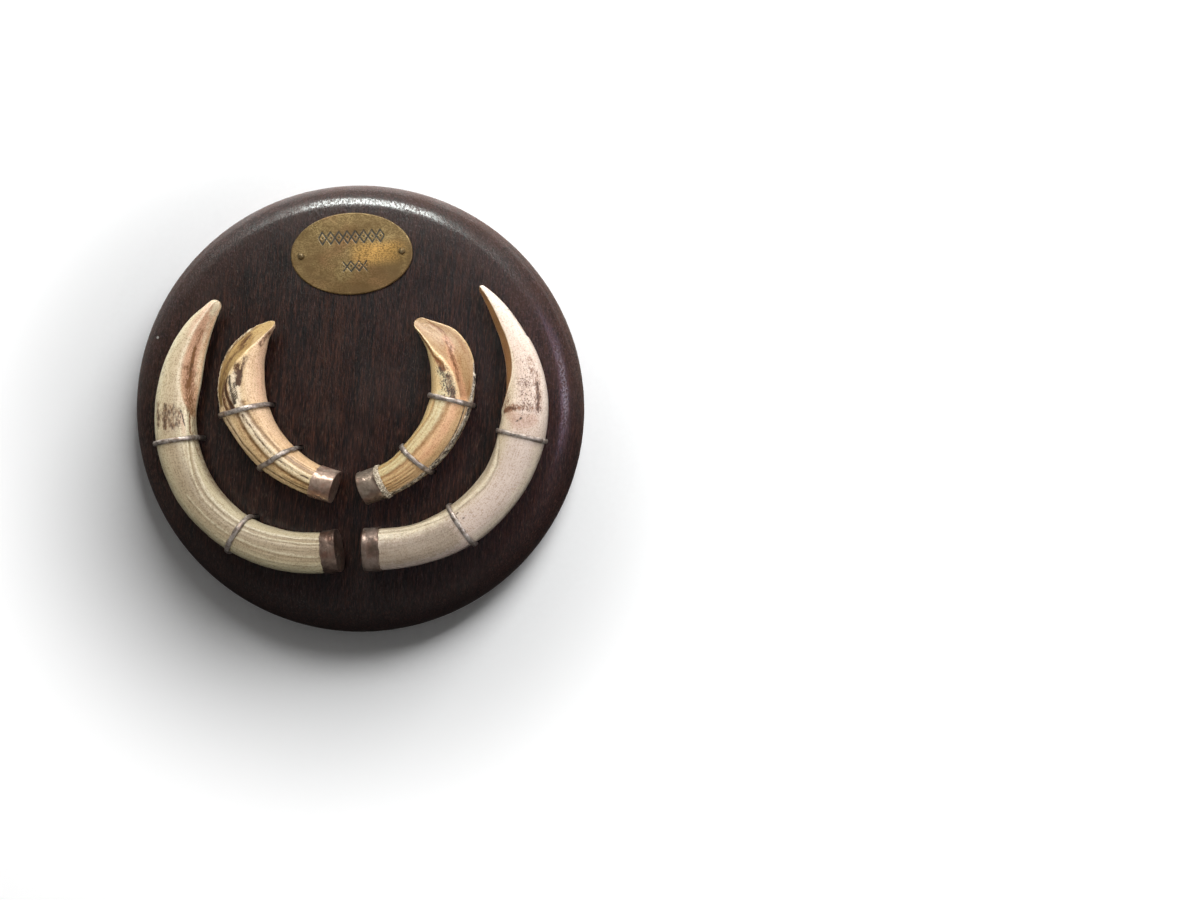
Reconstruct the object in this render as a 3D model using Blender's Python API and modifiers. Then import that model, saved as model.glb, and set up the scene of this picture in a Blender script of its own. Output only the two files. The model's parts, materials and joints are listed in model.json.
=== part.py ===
"""Round wall plaque of dark turned wood with two pairs of warthog tusks wired to its face.

The plaque is modelled lying on its back: x to the right, y up the wall, z out of the wall.
An empty then stands it upright, so that its back lies in the world's XZ plane and its face
looks along -Y. Lengths in the tables are millimetres.
"""

import math

import bmesh
import bpy
import numpy as np
from mathutils import Matrix, Vector

MM = 0.001

GAP = 0.3  # left between pieces that touch
SHARP_ANGLE = math.radians(35.0)  # edges bent more than this stay crisp

# Board: a turned disc with a full, rounded edge.
BOARD_RADIUS = 113.5
BOARD_THICKNESS = 24.0
FACE_RADIUS = 99.5  # where the flat face ends and the rounded edge begins
EDGE_DROP = 13.0  # depth of the rounded edge below the face, at its widest
BACK_RADIUS = 108.0
BOARD_STEPS = 64

DRILL_START = 5.0  # how far above a face each drill starts

# Hanging hole for a nail, drilled in the back.
NAIL_HOLE_RADIUS = 2.0
NAIL_HOLE_DEPTH = 9.0
NAIL_HOLE_UP = 84.0

# Oval plate and its two pins.
PLATE_CENTRE = (-1.6, 76.3)
PLATE_HALF_LENGTH = 30.2
PLATE_HALF_WIDTH = 20.3
PLATE_THICKNESS = 0.8
PLATE_TURN = math.radians(3.0)
PIN_SPACING = 50.0
PIN_HEAD_RADIUS = 1.7
PIN_HEAD_HEIGHT = 1.2
PIN_SHANK_RADIUS = 0.6
PIN_LENGTH = 6.0

# Wire hoops: flattened wire that crosses one tusk and ends in two holes in the board.
WIRE_WIDTH = 2.5  # along the tusk
WIRE_THICKNESS = 1.4
WIRE_SIDES = 6
WIRE_HOLE_RADIUS = 1.75
WIRE_IN_BOARD = 6.0
HOOP_POINTS = 14
HOOP_CLEARANCE = 0.45  # a little over the gap, for the straight runs between points
HOOP_WRAP = math.radians(24.0)  # how far the wire follows the tusk below its widest

# End caps: thin cups of sheet metal over the roots.
CAP_WALL = 0.6
CAP_END = 0.8
FILLER_WIDTH = 2.4
FILLER_WALL = 1.0

# How finely the tusks are lofted: rings along them, and columns round them. Each ring in
# the rounded tip holds a share of the tip's length and a share of the full section.
TIP_ROUND = 2.5
TIP_RINGS = [(0.03, 0.25), (0.25, 0.66), (0.6, 0.92)]
WORN_RINGS = 9
PLAIN_RINGS = 9
FACET_COLUMNS = 4
ROUND_COLUMNS = 16

# Tusk spines, from the tip to the closed end of the cap. Each row holds the middle's place
# across and up the board, then half the tusk's width along the board and half its height.
OUTER_LEFT = [
    (-64.3, 51.6, 2.4, 2.4),
    (-68.1, 46.5, 3.7, 4.2),
    (-72.8, 39.7, 5.6, 5.8),
    (-78.7, 27.3, 7.9, 7.2),
    (-82.5, 13.8, 9.3, 8.0),
    (-84.9, -0.2, 9.3, 8.2),
    (-84.6, -14.3, 9.3, 8.3),
    (-75.2, -40.9, 9.4, 8.3),
    (-55.2, -61.1, 9.3, 8.2),
    (-28.7, -70.5, 9.8, 7.9),
    (-14.2, -71.0, 9.9, 7.6),
    (-5.5, -69.8, 9.9, 7.5),
]
OUTER_RIGHT = [
    (63.0, 58.9, 1.7, 1.8),
    (67.6, 53.4, 3.4, 3.2),
    (71.9, 47.2, 4.8, 4.6),
    (78.9, 34.3, 6.7, 6.4),
    (83.9, 20.6, 8.6, 7.6),
    (85.7, 6.2, 10.4, 8.2),
    (84.5, -8.4, 11.4, 8.3),
    (75.0, -35.9, 10.9, 8.3),
    (54.9, -56.9, 10.8, 8.2),
    (28.0, -67.9, 9.9, 7.9),
    (14.9, -69.3, 10.1, 7.6),
    (7.0, -69.6, 10.1, 7.5),
]
INNER_LEFT = [
    (-37.1, 41.5, 1.6, 2.0),
    (-40.2, 38.9, 2.9, 3.2),
    (-43.5, 36.2, 4.6, 4.3),
    (-48.5, 29.6, 7.9, 5.9),
    (-52.2, 22.1, 10.2, 7.2),
    (-53.8, 14.0, 11.4, 7.9),
    (-53.7, 5.6, 12.0, 8.1),
    (-47.7, -9.5, 10.5, 8.1),
    (-37.9, -22.6, 9.6, 7.8),
    (-24.6, -32.4, 8.2, 7.4),
    (-17.2, -36.0, 7.8, 7.2),
    (-7.6, -39.1, 7.7, 7.1),
]
INNER_RIGHT = [
    (31.5, 42.1, 2.7, 2.2),
    (34.7, 39.7, 4.0, 3.2),
    (38.2, 37.0, 5.7, 4.3),
    (44.1, 31.6, 9.2, 5.9),
    (48.2, 24.2, 10.8, 7.2),
    (49.6, 16.0, 11.1, 7.9),
    (49.4, 7.6, 10.9, 8.1),
    (44.5, -8.1, 10.3, 8.1),
    (35.0, -21.9, 9.7, 7.8),
    (22.5, -32.7, 8.2, 7.4),
    (14.4, -36.7, 7.9, 7.2),
    (5.3, -39.8, 7.8, 7.1),
]

# Worn facets. Each row holds a distance from the tip, then the two places round the section
# where the facet starts and ends, in degrees from the outer bend over the front.
OUTER_LEFT_FACET = [
    (0.0, 84.0, 205.0),
    (6.0, 91.0, 200.0),
    (16.0, 96.0, 195.0),
    (29.0, 97.0, 191.0),
    (36.0, 98.0, 190.0),
    (43.0, 103.0, 189.0),
    (49.0, 113.0, 188.0),
    (54.0, 130.0, 188.0),
    (60.0, 156.0, 190.0),
]
OUTER_RIGHT_FACET = [
    (0.0, 98.0, 210.0),
    (13.0, 105.0, 200.0),
    (24.0, 110.0, 194.0),
    (33.0, 111.0, 190.0),
    (41.0, 117.0, 188.0),
    (49.0, 128.0, 188.0),
    (57.0, 148.0, 190.0),
    (64.0, 170.0, 195.0),
]
INNER_LEFT_FACET = [
    (0.0, 150.0, -5.0),
    (8.0, 129.0, -6.0),
    (12.0, 115.0, -6.0),
    (17.0, 101.0, -7.0),
    (23.0, 92.0, -7.0),
    (31.0, 81.0, -8.0),
    (44.0, 52.0, -10.0),
]
INNER_RIGHT_FACET = [
    (0.0, 150.0, 0.0),
    (8.0, 137.0, -5.0),
    (19.0, 118.0, -11.0),
    (26.0, 99.0, -15.0),
    (32.0, 87.0, -14.0),
    (37.0, 79.0, -13.0),
    (44.0, 62.0, -12.0),
]
SHOULDER = 2.5  # over which a facet's end runs out
GROOVE_HALF_WIDTH = math.radians(8.0)
GROOVE_RUN_IN = 18.0  # over which a lengthwise groove deepens, beyond the facet

# One entry per tusk: its spine, facet and facet's end, the side its outer bend faces,
# its height above the board, the cap's length, where its hoops cross it (distance from the
# tip and slant along the tusk), and its lengthwise grooves (place round the section in
# degrees, and depth).
TUSKS = {
    "outer_left": dict(
        spine=OUTER_LEFT, facet=OUTER_LEFT_FACET, facet_end=60.0, side=1, triangular=0.0,
        height=8.9, cap=7.2, hoops=[(73.0, 0.0), (129.0, 0.0)],
        grooves=[(117.0, 0.6)],
    ),
    "outer_right": dict(
        spine=OUTER_RIGHT, facet=OUTER_RIGHT_FACET, facet_end=64.0, side=-1, triangular=0.0,
        height=8.9, cap=8.2, hoops=[(79.0, 0.0), (132.0, 0.0)],
        grooves=[(124.0, 0.5)],
    ),
    "inner_left": dict(
        spine=INNER_LEFT, facet=INNER_LEFT_FACET, facet_end=44.0, side=1, triangular=0.07,
        height=8.7, cap=10.3, hoops=[(49.5, 1.7), (78.3, 3.4)],
        grooves=[(79.0, 0.8), (115.0, 0.8)],
    ),
    "inner_right": dict(
        spine=INNER_RIGHT, facet=INNER_RIGHT_FACET, facet_end=43.0, side=-1, triangular=0.07,
        height=8.7, cap=9.6, hoops=[(46.0, 0.0), (79.5, 0.6)],
        grooves=[(80.0, 0.7), (114.0, 0.7)],
    ),
}

MATERIALS = {
    "dark_wood": ((0.030, 0.017, 0.013), 0.35, 0.0),
    "outer_ivory": ((0.62, 0.53, 0.42), 0.42, 0.0),
    "inner_ivory": ((0.52, 0.39, 0.24), 0.42, 0.0),
    "cap_metal": ((0.25, 0.20, 0.18), 0.38, 1.0),
    "wire_metal": ((0.34, 0.31, 0.29), 0.38, 1.0),
    "filler": ((0.42, 0.38, 0.32), 0.85, 0.0),
    "plate_brass": ((0.42, 0.33, 0.14), 0.40, 1.0),
}


def clear_scene():
    for thing in list(bpy.data.objects):
        bpy.data.objects.remove(thing, do_unlink=True)


def make_material(name):
    colour, roughness, metallic = MATERIALS[name]
    material = bpy.data.materials.new(name)
    material.use_nodes = True
    shader = material.node_tree.nodes["Principled BSDF"]
    shader.inputs["Base Color"].default_value = (*colour, 1.0)
    shader.inputs["Roughness"].default_value = roughness
    shader.inputs["Metallic"].default_value = metallic
    return material


def add_object(name, data, collection, material=None):
    thing = bpy.data.objects.new(name, data)
    collection.objects.link(thing)
    if material:
        thing.data.materials.append(material)
    return thing


def mesh_from(name, points, faces):
    """Closed mesh from points in millimetres, with its faces turned outwards."""
    mesh = bpy.data.meshes.new(name)
    mesh.from_pydata([tuple(p) for p in np.asarray(points) * MM], [], faces)
    form = bmesh.new()
    form.from_mesh(mesh)
    bmesh.ops.recalc_face_normals(form, faces=form.faces)
    form.to_mesh(mesh)
    form.free()
    mesh.shade_smooth()
    mesh.set_sharp_from_angle(angle=SHARP_ANGLE)
    return mesh


def turned(name, profile, steps, collection, material=None):
    """A turned piece: its profile of (radius, height), top to bottom, screwed round Z."""
    mesh = bpy.data.meshes.new(name)
    points = [(radius * MM, 0.0, height * MM) for radius, height in profile]
    mesh.from_pydata(points, [(i, i + 1) for i in range(len(points) - 1)], [])
    thing = add_object(name, mesh, collection, material)
    screw = thing.modifiers.new("turn", "SCREW")
    screw.steps = screw.render_steps = steps
    screw.use_merge_vertices = True
    screw.merge_threshold = 0.00005
    screw.use_smooth_shade = True
    return thing


def cut(thing, cutter):
    hole = thing.modifiers.new("cut_" + cutter.name, "BOOLEAN")
    hole.operation = "DIFFERENCE"
    hole.solver = "EXACT"
    hole.object = cutter


def make_drill(name, radius, places, low, high, cutters, sides=10):
    """One cutter object with an upright cylinder at each place."""
    form = bmesh.new()
    for x, y in places:
        place = Matrix.Translation(Vector((x, y, (low + high) / 2)) * MM)
        bmesh.ops.create_cone(
            form, cap_ends=True, segments=sides, radius1=radius * MM, radius2=radius * MM,
            depth=(high - low) * MM, matrix=place,
        )
    mesh = bpy.data.meshes.new(name)
    form.to_mesh(mesh)
    form.free()
    drill = add_object(name, mesh, cutters)
    drill.hide_render = True
    drill.display_type = "WIRE"
    return drill


class Tusk:
    """A tusk's form: its spine, its section anywhere along it, and the worn facet."""

    def __init__(self, spine, facet, facet_end, side, triangular, height, cap, hoops, grooves):
        self.table = np.array(spine)
        steps = np.hypot(*np.diff(self.table[:, :2], axis=0).T)
        self.stations = np.concatenate([[0.0], np.cumsum(steps)])
        self.length = self.stations[-1]
        self.facet = np.array(facet)
        self.facet_end = facet_end
        self.side = side
        self.triangular = triangular
        self.height = height
        self.cap = cap
        self.hoops = hoops
        self.shares, self.depths = self.lay_out_columns(grooves)

    def row(self, along):
        """The spine's table read as a smooth curve: x, y, half width and half height."""
        slopes = np.gradient(self.table, self.stations, axis=0)
        i = int(np.clip(np.searchsorted(self.stations, along) - 1, 0, len(self.stations) - 2))
        span = self.stations[i + 1] - self.stations[i]
        t = (along - self.stations[i]) / span
        start = (1 + 2 * t) * (1 - t) ** 2 * self.table[i] + t * (1 - t) ** 2 * span * slopes[i]
        end = t * t * (3 - 2 * t) * self.table[i + 1] - t * t * (1 - t) * span * slopes[i + 1]
        return start + end

    def frame(self, along):
        """The spine's point and the direction of the outer bend, on the board's plane."""
        ahead = self.row(along + 0.5)[:2] - self.row(along - 0.5)[:2]
        ahead /= np.hypot(*ahead)
        return self.row(along)[:2], self.side * np.array([ahead[1], -ahead[0]])

    def facet_angles(self, along):
        at = min(along, self.facet[-1, 0])
        return [np.radians(np.interp(at, self.facet[:, 0], column)) for column in self.facet[:, 1:].T]

    def outline(self, angles):
        """The unit section: a squared ellipse, or a rounded triangle with its ridge in front."""
        squareness = 0.86
        x = np.sign(np.cos(angles)) * np.abs(np.cos(angles)) ** squareness
        y = np.sign(np.sin(angles)) * np.abs(np.sin(angles)) ** squareness
        lift = 1 + self.triangular * np.cos(3 * (angles - math.radians(97)))
        return np.stack([x * lift, y * lift], axis=-1)

    def section(self, along, angles, offset=0.0):
        """Section points at these angles, pushed out by an offset: (across, out) pairs."""
        _, _, half_width, half_height = self.row(along)
        fine = np.radians(np.arange(0, 360, 2))
        widest = np.abs(self.outline(fine)).max(axis=0)
        size = np.array([half_width, half_height]) / widest
        points = self.outline(angles) * size
        if not offset:
            return points
        small = 0.02
        run = (self.outline(angles + small) - self.outline(angles - small)) * size
        normal = np.stack([run[:, 1], -run[:, 0]], axis=-1)
        return points + offset * normal / np.hypot(*normal.T)[:, None]

    def place(self, along, pairs):
        """Board points for (across, out) pairs of the section there."""
        middle, outer = self.frame(along)
        return np.array([(*(middle + outer * a), BOARD_THICKNESS + self.height + o) for a, o in pairs])

    def plain_sweep(self, along):
        """From the facet's foot on round the plain side to its crest: start and signed angle."""
        crest, foot = self.facet_angles(along)
        return foot, crest - foot + math.copysign(2 * math.pi, foot - crest)

    def lay_out_columns(self, grooves):
        """Shares of the plain sweep that hold columns, with three for each groove, and depths."""
        foot, sweep = self.plain_sweep(self.length)
        half = GROOVE_HALF_WIDTH / abs(sweep)
        plain = np.linspace(0, 1, ROUND_COLUMNS + 1)[:-1]
        depths = {}
        for degrees, depth in grooves:
            middle = (math.radians(degrees) - foot) / sweep % (2 * math.pi / abs(sweep))
            plain = plain[(plain == 0) | (np.abs(plain - middle) > 1.6 * half)]
            depths.update({middle - half: 0.0, middle: depth, middle + half: 0.0})
        depths.update({share: 0.0 for share in plain})
        shares = sorted(depths)
        return np.array(shares), np.array([depths[share] for share in shares])

    def columns(self, along):
        """The ring's angles: a few across the facet from its crest, then the rest of the way round."""
        crest, foot = self.facet_angles(along)
        _, sweep = self.plain_sweep(along)
        across = np.linspace(crest, foot, FACET_COLUMNS + 1)[:-1]
        return np.concatenate([across, foot + sweep * self.shares])

    def worn_ring(self, along):
        """A section with its facet cut flat and its grooves pressed in."""
        angles = self.columns(along)
        run_in = np.clip((along - self.facet_end) / GROOVE_RUN_IN, 0, 1)
        surface = self.section(along, angles)
        inwards = self.section(along, angles, -1.0) - surface
        points = surface.copy()
        points[FACET_COLUMNS:] += inwards[FACET_COLUMNS:] * (self.depths * run_in)[:, None]
        share = (np.arange(FACET_COLUMNS) / FACET_COLUMNS)[:, None]
        chord = points[0] * (1 - share) + points[FACET_COLUMNS] * share
        worn = np.clip((self.facet_end + SHOULDER - along) / SHOULDER, 0, 1)
        points[:FACET_COLUMNS] = chord * worn + points[:FACET_COLUMNS] * (1 - worn)
        return points


def loft(rings, name, closed_loop=False):
    """Mesh through rings of equal length, with fans over the two ends, or bent to a loop."""
    count = len(rings[0])
    points = [p for ring in rings for p in ring]
    spans = len(rings) if closed_loop else len(rings) - 1
    faces = []
    for r in range(spans):
        here, there = r * count, (r + 1) % len(rings) * count
        for c in range(count):
            nxt = (c + 1) % count
            faces.append((here + c, here + nxt, there + nxt, there + c))
    if not closed_loop:
        for ring, start in ((rings[0], 0), (rings[-1], (len(rings) - 1) * count)):
            points.append(np.mean(ring, axis=0))
            hub = len(points) - 1
            faces += [(hub, start + c, start + (c + 1) % count) for c in range(count)]
    return mesh_from(name, points, faces)


def make_tusk(name, tusk, collection, material):
    """The tusk from its rounded tip to its cut root, inside the cap."""
    root = tusk.length - CAP_END - GAP
    rings = []
    for share, scale in TIP_RINGS:
        along = TIP_ROUND * share
        rings.append(tusk.place(along, tusk.worn_ring(along) * scale))
    mouth = tusk.length - tusk.cap
    ends = [TIP_ROUND, tusk.facet_end, tusk.facet_end + SHOULDER, mouth, root]
    counts = [WORN_RINGS, 1, PLAIN_RINGS, 1]
    for start, end, count in zip(ends, ends[1:], counts):
        for along in np.linspace(start, end, count + 1)[:-1]:
            rings.append(tusk.place(along, tusk.worn_ring(along)))
    rings.append(tusk.place(root, tusk.worn_ring(root)))
    return add_object(name, loft(rings, name), collection, material)


def sleeve_ring(tusk, along, offset):
    return tusk.place(along, tusk.section(along, tusk.columns(along), offset))


def make_cap(name, tusk, collection, material):
    """A cup of sheet metal over the root, open towards the tusk."""
    mouth, end = tusk.length - tusk.cap, tusk.length
    inside, outside = GAP, GAP + CAP_WALL
    walk = [(end - CAP_END, inside), (mouth, inside), (mouth, outside), ((mouth + end) / 2, outside), (end, outside)]
    rings = [sleeve_ring(tusk, along, offset) for along, offset in walk]
    return add_object(name, loft(rings, name), collection, material)


def make_filler(name, tusk, collection, material):
    """A bead of old filler round the tusk, against the cap's mouth."""
    end = tusk.length - tusk.cap - GAP
    start = end - FILLER_WIDTH
    inside, outside = GAP, GAP + FILLER_WALL
    walk = [(start, inside), (start, outside), (end, outside), (end, inside)]
    rings = [sleeve_ring(tusk, along, offset) for along, offset in walk]
    return add_object(name, loft(rings, name, closed_loop=True), collection, material)


def hoop_path(tusk, along, slant):
    """A hoop's middle line: up from one hole, close over the tusk, and down into the other."""
    clear = HOOP_CLEARANCE + WIRE_THICKNESS / 2
    path = []
    for angle in np.linspace(-HOOP_WRAP, math.pi + HOOP_WRAP, HOOP_POINTS):
        at = along - slant * math.cos(angle)
        path.append(tusk.place(at, tusk.section(at, np.array([angle]), clear))[0])
    first, last = path[0].copy(), path[-1].copy()
    first[2] = last[2] = BOARD_THICKNESS - WIRE_IN_BOARD
    return [first, *path, last]


def unit(vector):
    return vector / np.linalg.norm(vector)


def make_hoop(name, path, tusk, along, collection, material):
    """Flattened wire: an oval ring at each point of the path, its long way along the tusk."""
    _, outer = tusk.frame(along)
    lengthwise = np.array([-outer[1], outer[0], 0.0])
    sides = np.arange(WIRE_SIDES) * 2 * math.pi / WIRE_SIDES
    rings = []
    for i, point in enumerate(path):
        back = unit(path[i] - path[i - 1]) if i else None
        ahead = unit(path[i + 1] - path[i]) if i < len(path) - 1 else back
        back = ahead if back is None else back
        run = unit(back + ahead)
        thick = unit(np.cross(run, lengthwise)) * WIRE_THICKNESS / 2 / float(run @ ahead)
        wide = unit(np.cross(thick, run)) * WIRE_WIDTH / 2
        rings.append([point + wide * math.cos(turn) + thick * math.sin(turn) for turn in sides])
    return add_object(name, loft(rings, name), collection, material)


def quarter(start, end, count, towards_start):
    """Points of a quarter ellipse from start to end, without the first, in (radius, height)."""
    points = []
    for i in range(1, count + 1):
        turn = math.pi / 2 * i / count
        if towards_start:
            radius = start[0] + (end[0] - start[0]) * math.sin(turn)
            height = end[1] + (start[1] - end[1]) * math.cos(turn)
        else:
            radius = end[0] + (start[0] - end[0]) * math.cos(turn)
            height = start[1] + (end[1] - start[1]) * math.sin(turn)
        points.append((radius, height))
    return points


def make_board(collection, material):
    face = (FACE_RADIUS, BOARD_THICKNESS)
    widest = (BOARD_RADIUS, BOARD_THICKNESS - EDGE_DROP)
    back = (BACK_RADIUS, 0.0)
    profile = [(0.0, BOARD_THICKNESS), face]
    profile += quarter(face, widest, 5, True) + quarter(widest, back, 3, False)
    profile.append((0.0, 0.0))
    return turned("board", profile, BOARD_STEPS, collection, material)


def make_plate(collection, material):
    form = bmesh.new()
    bmesh.ops.create_cone(
        form, cap_ends=True, segments=48, radius1=MM, radius2=MM, depth=PLATE_THICKNESS * MM,
    )
    bmesh.ops.scale(form, vec=(PLATE_HALF_LENGTH, PLATE_HALF_WIDTH, 1.0), verts=form.verts)
    mesh = bpy.data.meshes.new("name_plate")
    form.to_mesh(mesh)
    form.free()
    plate = add_object("name_plate", mesh, collection, material)
    middle = BOARD_THICKNESS + GAP + PLATE_THICKNESS / 2
    plate.location = Vector((*PLATE_CENTRE, middle)) * MM
    plate.rotation_euler.z = PLATE_TURN
    return plate


def make_pin(name, x, y, collection, material):
    """A round-head pin, its head just clear of the plate and its shank in the board."""
    seat = BOARD_THICKNESS + PLATE_THICKNESS + 2 * GAP
    profile = [(0.0, PIN_HEAD_HEIGHT)]
    for turn in (30, 60, 90):
        angle = math.radians(turn)
        profile.append((PIN_HEAD_RADIUS * math.sin(angle), PIN_HEAD_HEIGHT * math.cos(angle)))
    profile += [(PIN_SHANK_RADIUS, 0.0), (PIN_SHANK_RADIUS, -PIN_LENGTH), (0.0, -PIN_LENGTH)]
    pin = turned(name, profile, 12, collection, material)
    pin.location = Vector((x, y, seat)) * MM
    return pin


def main():
    clear_scene()
    scene = bpy.context.scene
    parts = bpy.data.collections.new("warthog_tusk_plaque")
    cutters = bpy.data.collections.new("cutters")
    for collection in (parts, cutters):
        scene.collection.children.link(collection)
    finish = {name: make_material(name) for name in MATERIALS}

    board = make_board(parts, finish["dark_wood"])
    wire_feet = []
    for place, values in TUSKS.items():
        row, hand = place.split("_")
        tusk = Tusk(**values)
        make_tusk(f"{row}_tusk_{hand}", tusk, parts, finish[f"{row}_ivory"])
        make_cap(f"{row}_cap_{hand}", tusk, parts, finish["cap_metal"])
        for level, (along, slant) in zip(("upper", "lower"), tusk.hoops):
            path = hoop_path(tusk, along, slant)
            make_hoop(f"{row}_{hand}_hoop_{level}", path, tusk, along, parts, finish["wire_metal"])
            wire_feet += [path[0][:2], path[-1][:2]]
        if place == "inner_right":
            make_filler("inner_right_filler", tusk, parts, finish["filler"])

    plate = make_plate(parts, finish["plate_brass"])
    pin_places = []
    for hand, sign in (("left", -1), ("right", 1)):
        x = PLATE_CENTRE[0] + sign * PIN_SPACING / 2 * math.cos(PLATE_TURN)
        y = PLATE_CENTRE[1] + sign * PIN_SPACING / 2 * math.sin(PLATE_TURN)
        make_pin(f"plate_pin_{hand}", x, y, parts, finish["plate_brass"])
        pin_places.append((x, y))

    above = BOARD_THICKNESS + DRILL_START
    wire_floor = BOARD_THICKNESS - WIRE_IN_BOARD - GAP
    pin_floor = BOARD_THICKNESS + PLATE_THICKNESS - PIN_LENGTH
    wire_drill = make_drill("wire_holes", WIRE_HOLE_RADIUS, wire_feet, wire_floor, above, cutters)
    pin_drill = make_drill("pin_holes", PIN_SHANK_RADIUS + GAP, pin_places, pin_floor, above, cutters)
    nail_drill = make_drill(
        "nail_hole", NAIL_HOLE_RADIUS, [(0.0, NAIL_HOLE_UP)], -DRILL_START, NAIL_HOLE_DEPTH, cutters,
        sides=16,
    )
    for drill in (wire_drill, pin_drill, nail_drill):
        cut(board, drill)
    cut(plate, pin_drill)
    flat = board.modifiers.new("flat_face_shading", "WEIGHTED_NORMAL")
    flat.keep_sharp = True

    upright = bpy.data.objects.new("plaque", None)
    parts.objects.link(upright)
    upright.rotation_euler.x = math.pi / 2
    for thing in list(parts.objects) + list(cutters.objects):
        if thing != upright:
            thing.parent = upright


main()
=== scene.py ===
"""Finish of the round tusk plaque: stained board, four ivory tusks, caps, wire hoops and plate.

Laid out as a Blender add-on and run as a script. Lengths in the tables are millimetres. The
tables lie flat, as on a bench: x to the right, y up the board, and height out of its face.
In the world the board's back is at Y = 0 and its face looks along -Y.
"""

import json
import math

import bmesh
import bpy
import numpy as np
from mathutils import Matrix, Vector

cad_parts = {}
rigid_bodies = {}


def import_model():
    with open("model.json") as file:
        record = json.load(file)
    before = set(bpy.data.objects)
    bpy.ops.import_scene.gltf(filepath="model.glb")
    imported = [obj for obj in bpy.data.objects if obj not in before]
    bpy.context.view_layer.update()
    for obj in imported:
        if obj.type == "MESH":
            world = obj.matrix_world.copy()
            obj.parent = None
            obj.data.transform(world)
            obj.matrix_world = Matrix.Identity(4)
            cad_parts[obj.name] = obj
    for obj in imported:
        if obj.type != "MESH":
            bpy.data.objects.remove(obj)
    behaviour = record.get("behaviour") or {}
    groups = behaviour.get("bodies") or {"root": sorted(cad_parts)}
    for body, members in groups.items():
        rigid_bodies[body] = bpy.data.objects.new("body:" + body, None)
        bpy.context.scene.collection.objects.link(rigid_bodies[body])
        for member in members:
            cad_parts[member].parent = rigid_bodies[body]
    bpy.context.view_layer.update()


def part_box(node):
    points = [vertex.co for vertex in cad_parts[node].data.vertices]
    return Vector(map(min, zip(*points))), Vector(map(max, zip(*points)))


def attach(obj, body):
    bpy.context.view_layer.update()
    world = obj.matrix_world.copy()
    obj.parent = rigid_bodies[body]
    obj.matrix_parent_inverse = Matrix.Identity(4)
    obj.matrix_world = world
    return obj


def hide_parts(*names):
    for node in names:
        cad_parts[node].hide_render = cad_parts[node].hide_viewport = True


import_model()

bl_info = {
    "name": "Tusk Plaque Finish",
    "version": (1, 0, 0),
    "blender": (4, 5, 0),
    "location": "3D View > Sidebar > Plaque",
    "description": "Dresses the tusk plaque: wood, ivory, caps, wire and plate",
    "category": "Object",
}

MM = 0.001
BODY = "root"
BOARD_LOW, BOARD_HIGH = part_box("board")
PLATE_LOW, PLATE_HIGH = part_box("name_plate")
BOARD_RADIUS = (BOARD_HIGH.x - BOARD_LOW.x) / 2 / MM
BOARD_THICKNESS = (BOARD_HIGH.y - BOARD_LOW.y) / MM


def srgb(red, green, blue):
    """A colour as read off a screen, 0 to 255, in the linear values that shaders take."""
    return tuple(((c / 255 + 0.055) / 1.055) ** 2.4 if c > 10 else c / 3295 for c in (red, green, blue))


# ------------------------------------------------------------------ the tusks' forms

# Spines, from the tip to the closed end of the cap. Each row holds the middle's place across
# and up the board, then half the tusk's width along the board and half its height.
OUTER_LEFT = [
    (-64.3, 51.6, 2.4, 2.4),
    (-68.1, 46.5, 3.7, 4.2),
    (-72.8, 39.7, 5.6, 5.8),
    (-78.7, 27.3, 7.9, 7.2),
    (-82.5, 13.8, 9.3, 8.0),
    (-84.9, -0.2, 9.3, 8.2),
    (-84.6, -14.3, 9.3, 8.3),
    (-75.2, -40.9, 9.4, 8.3),
    (-55.2, -61.1, 9.3, 8.2),
    (-28.7, -70.5, 9.8, 7.9),
    (-14.2, -71.0, 9.9, 7.6),
    (-5.5, -69.8, 9.9, 7.5),
]
OUTER_RIGHT = [
    (63.0, 58.9, 1.7, 1.8),
    (67.6, 53.4, 3.4, 3.2),
    (71.9, 47.2, 4.8, 4.6),
    (78.9, 34.3, 6.7, 6.4),
    (83.9, 20.6, 8.6, 7.6),
    (85.7, 6.2, 10.4, 8.2),
    (84.5, -8.4, 11.4, 8.3),
    (75.0, -35.9, 10.9, 8.3),
    (54.9, -56.9, 10.8, 8.2),
    (28.0, -67.9, 9.9, 7.9),
    (14.9, -69.3, 10.1, 7.6),
    (7.0, -69.6, 10.1, 7.5),
]
INNER_LEFT = [
    (-37.1, 41.5, 1.6, 2.0),
    (-40.2, 38.9, 2.9, 3.2),
    (-43.5, 36.2, 4.6, 4.3),
    (-48.5, 29.6, 7.9, 5.9),
    (-52.2, 22.1, 10.2, 7.2),
    (-53.8, 14.0, 11.4, 7.9),
    (-53.7, 5.6, 12.0, 8.1),
    (-47.7, -9.5, 10.5, 8.1),
    (-37.9, -22.6, 9.6, 7.8),
    (-24.6, -32.4, 8.2, 7.4),
    (-17.2, -36.0, 7.8, 7.2),
    (-7.6, -39.1, 7.7, 7.1),
]
INNER_RIGHT = [
    (31.5, 42.1, 2.7, 2.2),
    (34.7, 39.7, 4.0, 3.2),
    (38.2, 37.0, 5.7, 4.3),
    (44.1, 31.6, 9.2, 5.9),
    (48.2, 24.2, 10.8, 7.2),
    (49.6, 16.0, 11.1, 7.9),
    (49.4, 7.6, 10.9, 8.1),
    (44.5, -8.1, 10.3, 8.1),
    (35.0, -21.9, 9.7, 7.8),
    (22.5, -32.7, 8.2, 7.4),
    (14.4, -36.7, 7.9, 7.2),
    (5.3, -39.8, 7.8, 7.1),
]

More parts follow.
